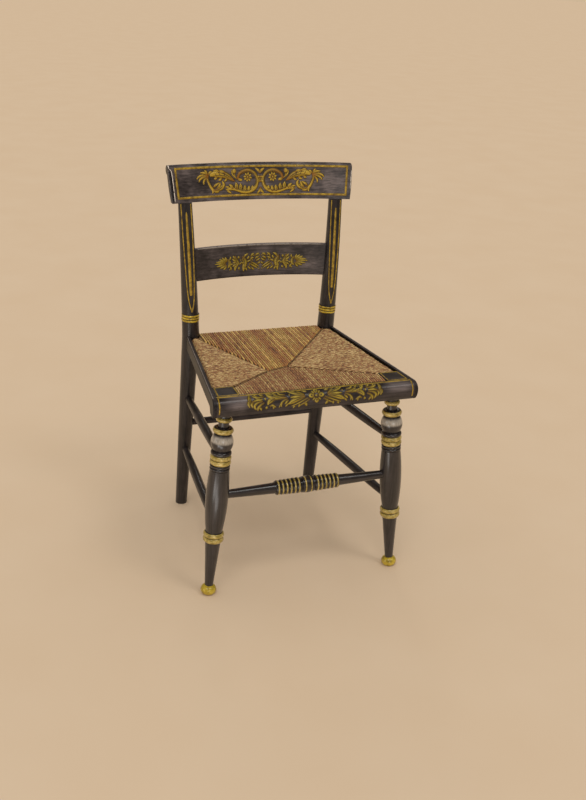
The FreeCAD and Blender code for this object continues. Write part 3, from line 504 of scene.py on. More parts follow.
def paint_posts():
    """Black posts with gold on the beads of the collar."""
    low, high = COLLAR_GOLD
    collar = [(COLLAR_BASE + low + COLLAR_BEAD * i, COLLAR_BASE + high + COLLAR_BEAD * i)
              for i in range(COLLAR_BEADS)]
    paint = banded_paint("black_and_gold_posts", "Z", (0, 0, 0), (0, 0, 1), collar, COLLAR_GOLDS,
                         varnish=0.6)
    for side in ("right", "left"):
        dress(side + "_back_post", paint)


def paint_front_stretcher():
    """A black stretcher with gold on its ribs and in the grooves beside its barrel."""
    low, high = place_of("front_stretcher")
    middle = Vector((0, (low.y + high.y) / 2, (low.z + high.z) / 2)) * MM
    ribs = [[RIBS_FROM_MIDDLE + RIB_LENGTH * i + edge for edge in RIB_GOLD] for i in range(RIBS)]
    dress("front_stretcher", banded_paint("black_and_gold_front_stretcher", "X", middle, (1, 0, 0),
                                          ribs + [BARREL_GOLD], mirror=True))


# Painted highlights of sheen: across, up, the reach to each side, and how grey

CREST_SHEEN = ((175, 800, 60, 0.6), (-30, 806, 90, 0.25), (60, 800, 60, 0.2))
SLAT_SHEEN = ((125, 617, 40, 0.45), (10, 625, 90, 0.25))
ROLL_SHEEN = ((-172, roll_high.z - 7, 42, 0.8), (182, roll_high.z - 7, 42, 0.8))


def paint_wood():
    """Black paint on the plain pieces, and what is under the paint: maple, iron and rush."""
    upright = black_paint("black_paint_on_upright_wood", "Z", 0.2)
    across = black_paint("black_paint_on_cross_wood", "X", 0.3)
    deep = black_paint("black_paint_on_side_wood", "Y", 0.2)
    # side strips: a highlight painted on their tops, and shade painted on the faces that look left
    # and right
    lit_and_shaded_strip_paint = black_paint("black_paint_worn_lit_and_shaded_on_side_strips", "Y", 0.1, 0.15, shaded_sides=True,
                          varnish=0.0)
    dress("rear_stretcher", across)
    # crest and roll: worn grey in clouds, with highlights of sheen painted on them and shade
    # painted on their ends
    dress("crest_rail", black_paint("black_paint_rubbed_with_painted_light_on_crest", "X", 0.85, sheen_spots=CREST_SHEEN,
                                    shaded_sides=True))
    dress("front_roll", black_paint("black_paint_rubbed_with_painted_light_on_roll", "X", 0.28, sheen_spots=ROLL_SHEEN,
                                    shaded_sides=True))
    # slat: worn grey, with a grey highlight painted on its top and sheen painted at its right end
    dress("back_slat", black_paint("black_paint_worn_with_painted_top_highlight", "X", 0.5, 0.95, SLAT_SHEEN))
    for side in ("left", "right"):
        dress(side + "_lower_side_stretcher", deep)
        dress(side + "_upper_side_stretcher", deep)
        dress(side + "_side_strip", lit_and_shaded_strip_paint)
        dress(side + "_corner_block", across)
    for names, paint in ((("crest_pegs", "slat_pegs"), upright),
                         (("front_seat_rail", "rear_seat_rail", "left_side_seat_rail",
                           "right_side_seat_rail"), bare_maple()),
                         (("front_roll_brads", "side_strip_brads"), cut_iron()),
                         (("seat_stuffing",), twisted_rush("packed_rush_waste", "X", 12, 0.1))):
        for name in names:
            dress(name, paint)


# Brushwork: every leaf and stripe is a thin strip of paint that is pressed on the wood. The first
# coat lies a little off the wood, each coat above the one before, and each strip a trace above its
# neighbour, so that no two faces lie in one plane. Brushed gold is thinner than this, and a coat is
# as thick as it needs to be to show.

FACING = 23.35
SHEET_DISTANCE = 2.0
SHEET_EDGES = (-1000.0, 1000.0)
PAINT_OFF_WOOD = 0.1
COAT_STEP = 0.12
STRIP_STEP = 0.004
STRIPS_IN_TURN = 24
PAINT_THICKNESS = 0.16


def smooth(points, steps):
    """Points evenly placed on a curve that passes through a few given points."""
    points = [Vector(p) for p in points]
    ends = [2 * points[0] - points[1]] + points + [2 * points[-1] - points[-2]]
    out = []
    spans = len(points) - 1
    for i in range(steps + 1):
        place = min(i / steps * spans, spans - 1e-6)
        k = int(place)
        t = place - k
        a, b, c, d = ends[k:k + 4]
        out.append(0.5 * (2 * b + (c - a) * t + (2 * a - 5 * b + 4 * c - d) * t**2
                          + (3 * b - 3 * c + d - a) * t**3))
    return out


class Brushwork:
    """Strokes drawn in mm on a flat sheet that leans back by an angle, and then pressed on one CAD
    node. A sheet that leans by 0 is upright, one that leans by 90 lies flat, and one that leans by
    FACING is square to the photograph's line of sight. Each coat lies on the one before it. fuller
    and wider are how much broader than its marks each stroke is laid, and edges are the lowest and
    highest that paint may come."""

    def __init__(self, name, node_name, lean, centre=(0.0, 0.0), both_halves=False, coat=0,
                 fuller=1.0, wider=0.0, edges=SHEET_EDGES):
        self.name = name
        self.node = nodes[node_name]
        self.lean = lean
        self.centre = centre
        self.both_halves = both_halves
        self.coat = coat
        self.fuller = fuller
        self.wider = wider
        self.edges = edges
        self.strips = []

    def strip(self, steps, shaped):
        """One flat strip whose points go where shaped puts them. It is told how far along a point
        is, from 0 to 1, and how far to the side, from -1 to 1."""
        bpy.ops.mesh.primitive_grid_add(x_subdivisions=steps, y_subdivisions=2, size=2)
        strip = bpy.context.object
        for vertex in strip.data.vertices:
            flat = shaped((vertex.co.x + 1) / 2, vertex.co.y)
            vertex.co = (flat.x, flat.y, 0.0)
        self.strips.append(strip)

    def stroke(self, marks, step=2.2):
        """A strip along a curve. Each mark is across, up and the width of the brush there."""
        marks = [(x, y, width * self.fuller + self.wider) for x, y, width in marks]
        length = sum((Vector(b[:2]) - Vector(a[:2])).length for a, b in zip(marks, marks[1:]))
        steps = max(5, int(length / step))
        line = smooth(marks, steps)
        low, high = self.edges

        def shaped(share, side):
            i = round(share * steps)
            before, after = line[max(0, i - 1)].to_2d(), line[min(steps, i + 1)].to_2d()
            across = (after - before).normalized().orthogonal()
            flat = line[i].to_2d() + across * (side * max(0.3, line[i].z) / 2)
            return Vector((flat.x, min(max(flat.y, low), high)))

        self.strip(steps, shaped)

    def leaf(self, start, end, width):
        """A leaf from its stalk to its tip."""
        a, b = Vector(start), Vector(end)
        low, high = a.lerp(b, 0.3), a.lerp(b, 0.68)
        self.stroke([(*a, width * 0.35), (*low, width), (*high, width * 0.8), (*b, 0.4)], 1.4)

    def dot(self, centre, radius):
        """A round touch of the brush."""
        x, y = centre
        marks = [(x + radius * along, y, radius * width)
                 for along, width in ((-1, 0.5), (-0.6, 1.6), (0, 2), (0.6, 1.6), (1, 0.5))]
        self.stroke(marks, radius / 3)

    def border(self, corners, width, steps):
        """A closed line through corners that go round anticlockwise, mitred where it turns."""
        corners = [Vector(corner) for corner in corners]
        for a, b, c, d in zip(corners[-1:] + corners[:-1], corners, corners[1:] + corners[:1],
                              corners[2:] + corners[:2]):
            ahead = (c - b).normalized()
            first = mitre((b - a).normalized(), ahead) * width / 2
            last = mitre(ahead, (d - c).normalized()) * width / 2
            self.strip(steps, lambda share, side: (b + first * side).lerp(c + last * side, share))

    def lay(self, material):
        """Joins the strips, stands the sheet before the node, presses it on and thickens the
        paint."""
        bpy.ops.object.select_all(action="DESELECT")
        for strip in self.strips:
            strip.select_set(True)
        bpy.context.view_layer.objects.active = self.strips[0]
        counts = [len(strip.data.vertices) for strip in self.strips]
        bpy.ops.object.join()
        piece = bpy.context.object
        piece.name = self.name
        if self.both_halves:
            other = piece.modifiers.new("OtherHalf", "MIRROR")
            other.use_mirror_merge = False
            bpy.ops.object.modifier_apply(modifier=other.name)
            counts *= 2
        across, up = self.centre
        for vertex in piece.data.vertices:
            vertex.co = ((vertex.co.x + across) * MM, (vertex.co.y + up) * MM, SHEET_DISTANCE)
        piece.location = (0, 0, 0)
        piece.rotation_euler = (math.radians(90 - self.lean), 0, 0)
        bpy.context.view_layer.update()
        press = piece.modifiers.new("Press", "SHRINKWRAP")
        press.target = self.node
        press.wrap_method = "PROJECT"
        press.wrap_mode = "ABOVE_SURFACE"
        press.use_project_z = True
        press.use_positive_direction = False
        press.use_negative_direction = True
        press.offset = (PAINT_OFF_WOOD + COAT_STEP * self.coat) * MM
        bpy.ops.object.modifier_apply(modifier=press.name)
        first = 0
        for turn, count in enumerate(counts):
            for vertex in piece.data.vertices[first:first + count]:
                vertex.co.z += turn % STRIPS_IN_TURN * STRIP_STEP * MM
            first += count
        body = piece.modifiers.new("Paint", "SOLIDIFY")
        body.thickness = PAINT_THICKNESS * MM
        body.offset = -1
        bpy.ops.object.modifier_apply(modifier=body.name)
        bpy.ops.object.transform_apply(location=True, rotation=True, scale=True)
        bpy.ops.object.shade_smooth()
        piece.data.materials.clear()
        piece.data.materials.append(material)
        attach(piece, "root")


def mitre(before, after):
    """Across a corner: the way that keeps a line's width the same on both sides of it."""
    middle = (before + after).normalized()
    side = Vector((-middle.y, middle.x))
    return side / side.dot(Vector((-after.y, after.x)))


def lay_strokes(name, node_name, lean, material, lines, step=2.2, **sheet):
    """A piece of brushwork that has nothing but strokes."""
    art = Brushwork(name, node_name, lean, **sheet)
    for marks in lines:
        art.stroke(marks, step)
    art.lay(material)


def stencil_coats(name, node_name, lean, centre, haze, gold, edges=SHEET_EDGES):
    """The sheets for a stencil's haze of powder, its gold and its veins, one coat over the other,
    each drawn for the right half. haze and gold are how much broader than its marks each stroke
    is laid: how many times, and how many mm more."""
    coats = (("_haze", *haze), ("", *gold), ("_veins", 1.0, 0.0))
    return [Brushwork(name + part, node_name, lean, centre, True, coat, fuller, wider, edges)
            for coat, (part, fuller, wider) in enumerate(coats)]


# The stencils, right halves: each mark is across from the middle, up from the middle, and width

CREST_CENTRE = (1.0, 808.5)
CREST_STROKES = (
    # the scroll that makes a ring round the rosette and runs out into acanthus
    ((54.5, 5, 3), (51, 14, 5), (41.5, 20, 6), (29, 22.5, 6), (17, 18.5, 5.5), (10, 11, 5),
     (7, 1.5, 5), (8.5, -8, 5.5), (13.5, -15.5, 6.5), (21, -20.5, 6.5), (31, -23.5, 6),
     (42.5, -23, 6), (52, -20, 6), (61.5, -17, 5.5), (71.5, -16, 5), (83.5, -17.5, 1.2)),
    ((53.5, 6.5, 3), (49.5, 3, 5.5), (43.5, 2, 2.5)),
    # acanthus lobes
    ((67, -16.5, 3.5), (69.5, -11, 5.4), (75.5, -6.5, 1)),
    ((60, -17.5, 4), (57.5, -11, 7.4), (59, -3, 1.4)),
    ((50.5, -20, 4), (47.5, -13, 7), (48, -5.5, 1.4)),
    ((40.5, -22.5, 4), (37.5, -17, 7), (37, -9.5, 1.4)),
    ((30.5, -23, 4), (28, -18, 7), (27.5, -11, 1.4)),
    ((21, -20, 3.5), (19.5, -16, 5.4), (19, -10.5, 1.2)),
    ((80, -16, 2.5), (78, -20.5, 4.2), (70.5, -26, 1)),
    ((72, -16, 2), (78, -12.5, 3.6), (84, -11.5, 1)),
    # the big leaf of the horn, and the teeth on its lower edge
    ((61.5, -0.5, 1), (70.5, 5.5, 6.5), (79.5, 11.5, 9.5), (91, 15, 11.5), (102, 16.5, 12),
     (112.5, 16.5, 9.5), (121, 14, 4.5)),
    ((80, 7, 3), (82.5, 3, 4.2), (87.5, 1, 0.8)),
    ((92.5, 9.5, 3.5), (96, 4.5, 4.6), (101, 3.5, 1)),
    ((104, 11, 3), (107, 7, 4.2), (111.5, 6.5, 0.8)),
    ((84, 17, 3), (90, 21.5, 3.4), (98, 23.5, 0.8)),
    ((97, 20, 3), (104, 24, 3.4), (112, 24, 0.8)),
    # the stem below the horn's mouth and the leaf that curls up from its foot
    ((125.5, 16.5, 3.5), (127.5, 8, 3.8), (125, -0.5, 3.8), (120.5, -9.5, 4.2), (114.5, -18, 4.8),
     (116, -24.5, 1)),
    ((113.5, -17.5, 2), (102, -17, 5.2), (93, -13, 6.4), (88.5, -6, 5.2), (92, 1.5, 1.2)),
    ((113, -12, 2), (108, -7, 4.2), (99, -2.5, 1.2)),
    ((105, -14.5, 2), (99.5, -10, 4.8), (96.5, -2.5, 1.4)),
    ((113.5, -18, 2), (108.5, -21, 3.6), (99.5, -21.5, 1)),
    # the spray of petals at the outer end
    ((125.5, 14.5, 2), (134, 20, 3.8), (144, 20.5, 1)),
    ((126.5, 13.5, 2), (139, 15, 3.8), (148, 12.5, 3.2), (152.5, 7.5, 1)),
    ((127, 12, 2), (137.5, 10.5, 3.8), (145, 6.5, 3.2), (148, 1, 1)),
    ((127, 10, 2), (133.5, 6, 3.4), (136.5, 1, 3.2), (136, -5, 1)),
    ((124.5, 15.5, 2), (121.5, 20, 3.8), (116.5, 22.5, 1)),
    ((126, 15.5, 2), (130, 22.5, 3.4), (133.5, 25.5, 0.8)),
    # bud, its tendril, the links and the small leaves in the middle
    ((62, 17, 1), (61, 11.5, 1.6), (60, 6, 1)),
    ((54, 4.5, 1.6), (61.5, 9.5, 2.4), (67, 16, 2.2), (67.5, 23.5, 0.8)),
    ((-0.2, 16, 1.6), (4, 22.5, 4.6), (11, 27, 1)),
    ((-0.2, 8.6, 3), (4, 8.4, 3), (8.5, 8, 3)),
    ((-0.2, -1, 2.8), (4, -1, 2.8), (8, -1.4, 2.8)),
    ((3, 6, 1.8), (2.4, 3.5, 1.8), (3, 1, 1.8)),
    ((-0.2, -14.5, 1.6), (2.2, -21.5, 4.6), (8.2, -27, 1)),
)
CREST_VEINS = (
    # along the scroll and the foot of the acanthus
    ((50.5, 12.5, 0.6), (41, 18.4, 1.3), (29, 20.8, 1.3), (18, 17, 1.3), (11.6, 10, 1.3),
     (8.6, 1.5, 1.3), (10.2, -7, 1.2), (14.8, -14, 0.6)),
    ((18, -17.5, 0.6), (31, -21.5, 1.4), (42.5, -21, 1.4), (52, -18.4, 1.4), (62, -15.6, 0.6)),
    # between the acanthus lobes
    ((64.3, -8.5, 0.8), (63.3, -12.5, 1.5), (64, -16, 0.6)),
    ((53.2, -8.5, 0.8), (53, -14, 1.6), (55, -19, 0.6)),
    ((43, -9.5, 0.8), (42.6, -16, 1.6), (45, -21, 0.6)),
    ((33, -13.5, 0.8), (33, -18.5, 1.6), (35, -22.5, 0.6)),
    ((24, -14, 0.8), (24.6, -18.5, 1.4), (26.5, -21.5, 0.6)),
    # down the middle of each lobe
    ((58.4, -6, 0.5), (57.8, -11, 1.1), (59.2, -15.5, 0.5)),
    ((47.9, -8, 0.5), (47.7, -13, 1.1), (49.4, -18, 0.5)),
    ((37.1, -12, 0.5), (37.8, -16.5, 1.1), (39.6, -20.5, 0.5)),
    # the folds of the horn
    ((71, 7, 0.6), (82, 14, 1.5), (94, 18.6, 1.4), (106, 19.6, 0.6)),
    ((76, 7.6, 0.6), (88, 12.2, 1.5), (100, 13.6, 1.4), (113, 12.6, 0.6)),
    ((88, 18.5, 0.6), (87, 14.6, 1.3), (83.6, 11, 0.6)),
    ((99, 21, 0.6), (98, 16.4, 1.3), (94.6, 12.6, 0.6)),
    ((109, 20, 0.6), (108, 16.4, 1.2), (105, 13.4, 0.6)),
    # the leaf that curls up from the stem
    ((110, -17.4, 0.6), (101, -16.2, 1.3), (93.6, -12, 1.3), (90, -5.5, 0.6)),
)
ROSETTE = Vector((30.0, 8.0))
ROSETTE_LEAVES = 8
ROSETTE_TURN = 0.2


def rosette_leaves(art, shift, inner, outer, width):
    """The leaves of the crest's rosette, or the veins between them where shift is a half."""
    for i in range(ROSETTE_LEAVES):
        turn = math.tau * (i + shift) / ROSETTE_LEAVES + ROSETTE_TURN
        reach = Vector((math.cos(turn), math.sin(turn)))
        art.leaf(ROSETTE + reach * inner, ROSETTE + reach * outer, width)


def crest_ornament(gold, haze, vein):
    """A scrolled ring with a rosette, acanthus below it, and outside it a horn of leaves and
    petals."""
    thin, full, dark = stencil_coats("crest_stencil", "crest_rail", 0, CREST_CENTRE, (1.25, 2.4),
                                     (1.22, 0.0))
    for art in (thin, full):
        for marks in CREST_STROKES:
            art.stroke(marks)
        rosette_leaves(art, 0, 2.6, 10.2, 4.2)
        art.dot((61.5, 21.5), 4.4)
    full.dot(ROSETTE, 1.8)
    thin.dot(ROSETTE, 5.0)
    thin.lay(haze)
    full.lay(gold)
    for marks in CREST_VEINS:
        dark.stroke(marks)
    rosette_leaves(dark, 0.5, 3.0, 8.0, 1.2)
    dark.lay(vein)


SLAT_CENTRE = (4.6, 625.0)
SLAT_STROKES = (
    # the palmette at the outer end, seven blades on a curved base
    ((81.5, 7.5, 1.5), (77, 2, 4.8), (77, -6, 4.8), (81, -11.5, 1.2)),
    ((86.5, -2, 1.5), (100, -1.2, 3.6), (114.5, -1.2, 0.5)),
    ((86.5, -1, 1.5), (97.5, 3, 3.6), (110.5, 3, 0.8)),
    ((85.5, 0.5, 1.5), (94.5, 5.5, 3.6), (102.5, 9.5, 0.8)),
    ((84, 1.5, 1.5), (90, 7.5, 3.6), (95.5, 12.5, 0.8)),
    ((83, 2.5, 1.5), (85.5, 8, 3.6), (88, 13.5, 0.8)),
    ((86.5, -3.5, 1.5), (97.5, -5.8, 3.6), (109, -6.8, 0.8)),
    ((85, -5, 1.5), (93, -9.4, 3.6), (101, -11.8, 0.8)),
    ((83.5, -6, 1.5), (87.5, -11.8, 3.6), (92, -15.5, 0.8)),
    ((77.5, 5.5, 1.5), (75, 9, 3.6), (74.5, 13.5, 0.8)),
    ((74, -5.5, 1.5), (71.5, -4.5, 3.4), (68.5, -4.5, 0.8)),
    ((77, -9, 1.5), (73.5, -12, 3.6), (72, -17.5, 0.8)),
    # the middle blade with its three barbs
    ((63, 15, 0.8), (62, 8.5, 4.8), (59, 2.5, 5.6), (56.5, -3, 5.6), (60, -8.5, 5.6),
     (62.5, -14, 4.8), (63.5, -20.5, 0.8)),
    ((60, 0, 2), (65, 3.5, 3.6), (70, 8, 0.8)),
    ((59.5, -2, 2), (64.5, -1.4, 3.2), (68.5, -1.6, 0.8)),
    ((60.5, -6, 2), (65, -7.4, 3.4), (69.5, -10, 0.8)),
    ((61, 6, 2), (66, 11, 3), (68.5, 15, 0.8)),
    # the tall inner blade
    ((42.5, 13, 1.8), (42, 6, 6.6), (38, 0, 7.6), (39, -7, 7.8), (41, -13, 6.6), (42, -23, 0.8)),
    ((40, 9, 2), (37.5, 14.5, 3.8), (30.5, 18, 0.8)),
    ((41.5, -5, 2), (45, -2.5, 2.8), (48, -0.5, 0.8)),
    ((41, -12, 2), (35.5, -17, 3.2), (33.5, -21, 0.8)),
    # strokes and leaflets of the middle field
    ((28, -5, 1.4), (19, -9.5, 3), (7.5, -16.5, 1.6)),
    ((24.5, -1, 1.2), (15, -6, 2.6), (4, -13, 1.2)),
    ((34, 4.5, 1.2), (30.2, 8.5, 3.8), (29, 12.5, 0.8)),
    ((13.5, 12.5, 1.2), (9, 16, 3.8), (3.5, 18, 0.8)),
    ((24, 10, 1.2), (21, 15, 3.8), (16, 18.5, 0.8)),
    ((26, 3, 1.2), (22, 7, 3.4), (16.5, 8.5, 0.8)),
    ((14, 4, 1.2), (9.5, 8.5, 3.4), (4, 9.5, 0.8)),
    ((31, -10.5, 1.2), (28.5, -14.5, 3.6), (24, -18, 0.8)),
    ((21.5, -13, 1.2), (20, -16.5, 3.4), (15.5, -20, 0.8)),
    ((12, 0.5, 1.2), (6.5, 2.5, 3), (1, 6.5, 0.8)),
    ((9, -6, 1.2), (4, -5, 3), (1, -1, 0.8)),
    ((33.5, -1.5, 1.2), (29.5, 0.5, 3.2), (24, 2.5, 0.8)),
)
SLAT_VEINS = (
    ((43, 10, 0.5), (42.6, 5, 1.4), (39.4, 0, 1.4), (40, -7, 1.4), (41.6, -14, 0.6)),
    ((61.8, 10, 0.5), (59.6, 2.5, 1.2), (57.4, -3, 1.2), (60.4, -8.5, 1.2), (62.6, -14, 0.5)),
    ((78.6, 3, 0.5), (77.6, -2.5, 1.1), (78.6, -8, 0.5)),
    ((47, 16, 0.5), (46.6, 9, 1.2), (46.4, 4, 0.5)),
)
SLAT_DOTS = ((93.5, -1.5, 1.2), (75.5, -16.5, 1.6), (54, 10.5, 2.4), (53, -15, 2.4), (50, -4, 2),
             (20, 2.5, 1.4), (10.5, -10.5, 1.3), (27.5, -9, 1.2), (3.2, 13.2, 1.3),
             (3.4, -17.8, 1.4), (49, 3.5, 1.3), (16.5, 13.2, 1.2))


def slat_ornament(gold, haze, vein):
    """Leaflets round a point of small dots, two leaf blades on each side and a palmette at each
    end."""
    thin, full, dark = stencil_coats("slat_stencil", "back_slat", 0, SLAT_CENTRE, (1.3, 2.2),
                                     (1.28, 0.0))
    for art in (thin, full):
        for marks in SLAT_STROKES:
            art.stroke(marks, 1.6)
        for x, y, radius in SLAT_DOTS:
            art.dot((x, y), radius)
    thin.lay(haze)
    full.lay(gold)
    for marks in SLAT_VEINS:
        dark.stroke(marks)
    dark.lay(vein)


ROLL_CENTRE = (-6.5, 331.2)
ROLL_STROKES = (
    # the leaf that opens away from the rosette like a V
    ((25, 1.5, 1.2), (32.5, 5.5, 5.6), (43, 8.5, 7.4), (52.5, 11, 6), (61.5, 13.5, 0.8)),
    ((25, 0, 1.2), (35, -2.5, 7), (44.5, -5, 8.8), (53.5, -8.5, 7.8), (62.5, -12.5, 1)),
    ((29.5, 1, 2), (42.5, 1.2, 4.6), (57, 0.5, 0.8)),
    # sprigs that trail under it
    ((18, -3.5, 0.8), (29, -8, 1.8), (41, -13, 1.8), (54.5, -17.5, 0.8)),
    ((15, -6.5, 0.8), (25.5, -12.5, 1.8), (37.5, -18, 0.8)),
    ((27, -12.5, 1.4), (23.5, -15.5, 4.6), (20.5, -20, 0.8)),
    ((38.5, -14, 1.4), (37.5, -17, 3.6), (38.5, -21, 0.8)),
    ((48, -15.5, 1.4), (48.5, -18.5, 3.2), (51, -21.5, 0.8)),
    ((30.5, 11.5, 1), (25.5, 10.5, 2.8), (19.5, 9.5, 0.6)),
    # the forked leaf further out
    ((64, 0.5, 0.8), (76.5, 2, 4.6), (87.5, 3.5, 8.2), (95.5, 5.5, 9.6), (102.5, 8, 6.4),
     (108, 12.5, 0.8)),
    ((90, 1, 3), (98, -1, 8.4), (104, -5, 6.4), (106.5, -10.5, 0.8)),
    ((62.5, -1.5, 0.8), (71.5, -4.5, 2.2), (78, -10, 2.2), (81.5, -18, 0.8)),
    ((74, -7, 0.8), (77, -12, 1.8), (76.5, -17.5, 0.6)),
    ((61.5, -4, 0.8), (66, -8, 3.2), (69.5, -12, 0.8)),
    ((61, -10.5, 0.8), (64.5, -13.5, 2.8), (68, -17, 0.8)),
    ((67, 6.5, 0.8), (78, 8.5, 2.8), (84, 14, 0.8)),
    ((86, 8.5, 0.8), (90, 10.5, 2.6), (93.5, 13.5, 0.8)),
    ((102, -14, 0.8), (96.5, -12, 3.2), (88.5, -16.5, 0.8)),
    ((95.5, -13, 0.8), (93, -16, 2.8), (94, -19.5, 0.8)),
    # the end spray: a stub with drooping petals
    ((143, -3, 4), (144.5, 4.5, 5.2), (142.5, 12, 0.8)),
    ((143.5, 1, 4), (147, -4.5, 5), (144.5, -12.5, 0.8)),
    ((139, -2, 1.6), (129, 1.2, 3.4), (116.5, 1, 0.8)),
    ((116.5, -2, 0.8), (126.5, -3.5, 3), (134, -8.5, 4), (133.5, -14, 3), (129.5, -18, 0.6)),
    ((113.5, -5, 0.8), (121, -9, 3), (125.5, -13, 4), (127, -17, 2.6), (126, -20.5, 0.6)),
    ((137.5, -2.5, 1.6), (141, -6.5, 4), (138, -13.5, 0.8)),
    ((126.5, -13.5, 1), (121.5, -16, 3.2), (119, -20.5, 0.6)),
    ((113, 6.5, 0.8), (128, 6, 2.8), (137, 10, 0.8)),
    ((113.5, 9.5, 0.6), (118, 9.5, 2.6), (122.5, 13.5, 0.6)),
    ((126, 8, 0.8), (130.5, 10, 2.8), (133.5, 13.5, 0.8)),
)
ROLL_VEINS = (
    ((29, -1.6, 0.6), (37, -3.6, 1.5), (46, -6.4, 1.5), (57, -10.4, 0.6)),
    ((30, 3.8, 0.6), (38, 6.6, 1.4), (47, 9.2, 1.3), (56, 12, 0.6)),
    ((34, 2.6, 0.5), (44, 3.6, 1.2), (55, 4.6, 0.5)),
    ((33, -0.4, 0.5), (43, -1.8, 1.2), (56, -4.4, 0.5)),
    ((80, 2.4, 0.6), (89, 4.4, 1.5), (97, 6.4, 1.4), (104, 9.6, 0.6)),
    ((91, 0.6, 0.6), (98.4, -1.6, 1.4), (104, -6.6, 0.6)),
    ((143.6, -1, 0.6), (144.6, 5, 1.3), (143, 10, 0.6)),
    ((144.6, -1, 0.6), (146.6, -5, 1.2), (145, -10, 0.6)),
)
PETALS = (
    ((3.5, 0.6, 3), (7, 0.6, 7.5), (11.5, 0.6, 9), (15.5, 0.6, 5), (17, 0.6, 1)),
    ((0, 4, 3), (0, 7, 7.5), (0, 10.5, 9), (0, 13.5, 2)),
    ((0, -4, 3), (0, -8, 7.5), (0, -12, 8), (0, -15, 2)),
)
PETAL_VEINS = ((10.6, 0.6), (0.0, 9.0), (0.0, -9.6))
ROLL_EDGES = (-21.8, 12.9)
ROLL_DOTS = ((110.5, 2.5, 2), (108.5, -15.5, 2.4), (70.5, 13, 1.2), (58.5, 5.5, 1.2))
HEART_SIDES = (((4.4, -4.4), (4.4, 4.4)), ((-0.2, 4.6), (4.4, 4.4)), ((-0.2, -4.6), (4.4, -4.4)))
HEART_SWELL = 1.06


def roll_ornament(gold, haze, vein):
    """A four-petalled rosette with a long spray of forked leaves to each side."""
    thin, full, dark = stencil_coats("front_roll_stencil", "front_roll", FACING, ROLL_CENTRE,
                                     (1.1, 3.4), (1.15, 0.0), ROLL_EDGES)
    for art in (thin, full):
        for marks in ROLL_STROKES:
            art.stroke(marks, 1.8)
        for marks in PETALS:
            art.stroke(marks, 1.2)
        art.leaf((3.0, 3.0), (9.5, 9.5), 2.6)
        art.leaf((3.0, -3.0), (9.0, -9.5), 2.6)
        for x, y, radius in ROLL_DOTS:
            art.dot((x, y), radius)
    thin.lay(haze)
    full.lay(gold)
    for marks in ROLL_VEINS:
        dark.stroke(marks, 1.8)
    for place in PETAL_VEINS:
        dark.dot(place, 1.7)
    for (x1, y1), (x2, y2) in HEART_SIDES:
        middle = ((x1 + x2) / 2 * HEART_SWELL, (y1 + y2) / 2 * HEART_SWELL, 1.3)
        dark.stroke([(x1, y1, 1.0), middle, (x2, y2, 1.0)])
    dark.lay(vein)
    heart = Brushwork("front_roll_rosette_heart", "front_roll", FACING, ROLL_CENTRE, True, 3)
    heart.dot((0.0, 0.0), 2.4)
    heart.lay(gold)


# Painted edge highlights and crest-end shade: across, up and width, and for the slat how far below
# its top

CREST_END_SHADE = [(-216, 836, 4.6), (-214, 822, 6.4), (-211.6, 800, 6.4), (-210.4, 784, 6.4),
                   (-209.4, 771, 5.4)]
CREST_LEFT_END_HIGHLIGHT = [(-216.6, 841, 0.9), (-214, 838.8, 1.3), (-211.6, 834, 1.5),
                       (-209.8, 822, 1.7), (-207.9, 800, 1.6), (-206.6, 784, 1.8),
                       (-205.7, 771, 1.3)]
CREST_RIGHT_END_HIGHLIGHT = [(217.8, 832, 0.8), (216, 812, 1.4), (213.6, 790, 0.6)]
CREST_ROLL_HIGHLIGHT = [(-217.6, 184, 1.8), (-217.8, 192, 2.4), (-217.6, 200, 1.2)]
SLAT_TOP_HIGHLIGHT = [(-152, 2.2, 1), (-120, 2.2, 2.8), (-60, 2.4, 3.2), (0, 2.3, 2.8), (70, 2.4, 3.2),
                 (125, 2.2, 2.6), (154, 2.2, 1)]
STRIP_HIGHLIGHT_WIDTH = 1.5
STRIP_HIGHLIGHT_INSET = 2.0
STRIP_HIGHLIGHT_FRONT = 16.0
STRIP_HIGHLIGHT_REAR = 10.0


def painted_edge_light(pale_highlight, rubbed, whole):
    """Pale highlights painted down the corners of the crest's ends and at the left end of its roll,
    and dark shade painted on the crest's left end between its corner and the pale line. The slat's
    top and the outer corners of the side strips get a grey painted highlight. The three finishes
    are the pale highlight, the grey highlight and the dark shade."""
    # painted shade: dark paint on the crest's left end, between its corner and the pale line
    lay_strokes("crest_end_painted_shade", "crest_rail", 0, whole, [CREST_END_SHADE])
    # painted highlight: a grey line along the outer top corner of each side strip
    first = roll_low.y + STRIP_HIGHLIGHT_FRONT
    length = rear_rail_low.y - roll_low.y - STRIP_HIGHLIGHT_FRONT - STRIP_HIGHLIGHT_REAR
    ways = [first + length * i / 8 for i in range(9)]
    for side, sign in (("left", -1), ("right", 1)):
        corner = [(sign * (side_face(y) + STRIP_THICKNESS - STRIP_HIGHLIGHT_INSET), y, STRIP_HIGHLIGHT_WIDTH)
                  for y in ways]
        lay_strokes(side + "_strip_corner_highlight", side + "_side_strip", 90, rubbed, [corner], 4.0)
    # painted highlights: pale lines down the crest's end corners and at the left end of its roll,
    # and a grey line along the slat's top
    lay_strokes("crest_end_highlight", "crest_rail", 0, pale_highlight,
                [CREST_LEFT_END_HIGHLIGHT, CREST_RIGHT_END_HIGHLIGHT], coat=1)
    top = [(x, slat_high.z - below, width) for x, below, width in SLAT_TOP_HIGHLIGHT]
    lay_strokes("slat_top_highlight", "back_slat", 0, rubbed, [top], 4.0, coat=1)
    lay_strokes("crest_roll_highlight", "crest_rail", 90, pale_highlight, [CREST_ROLL_HIGHLIGHT], 1.6, coat=1)


# Gold lines. A post's line follows the edge of its planed face

CREST_BORDER = [(-197.0, 778.0), (203.0, 778.0), (208.0, 840.0), (-202.5, 840.0)]
FACE_START = 519.0
FACE_FROM_MIDDLE = 6.5
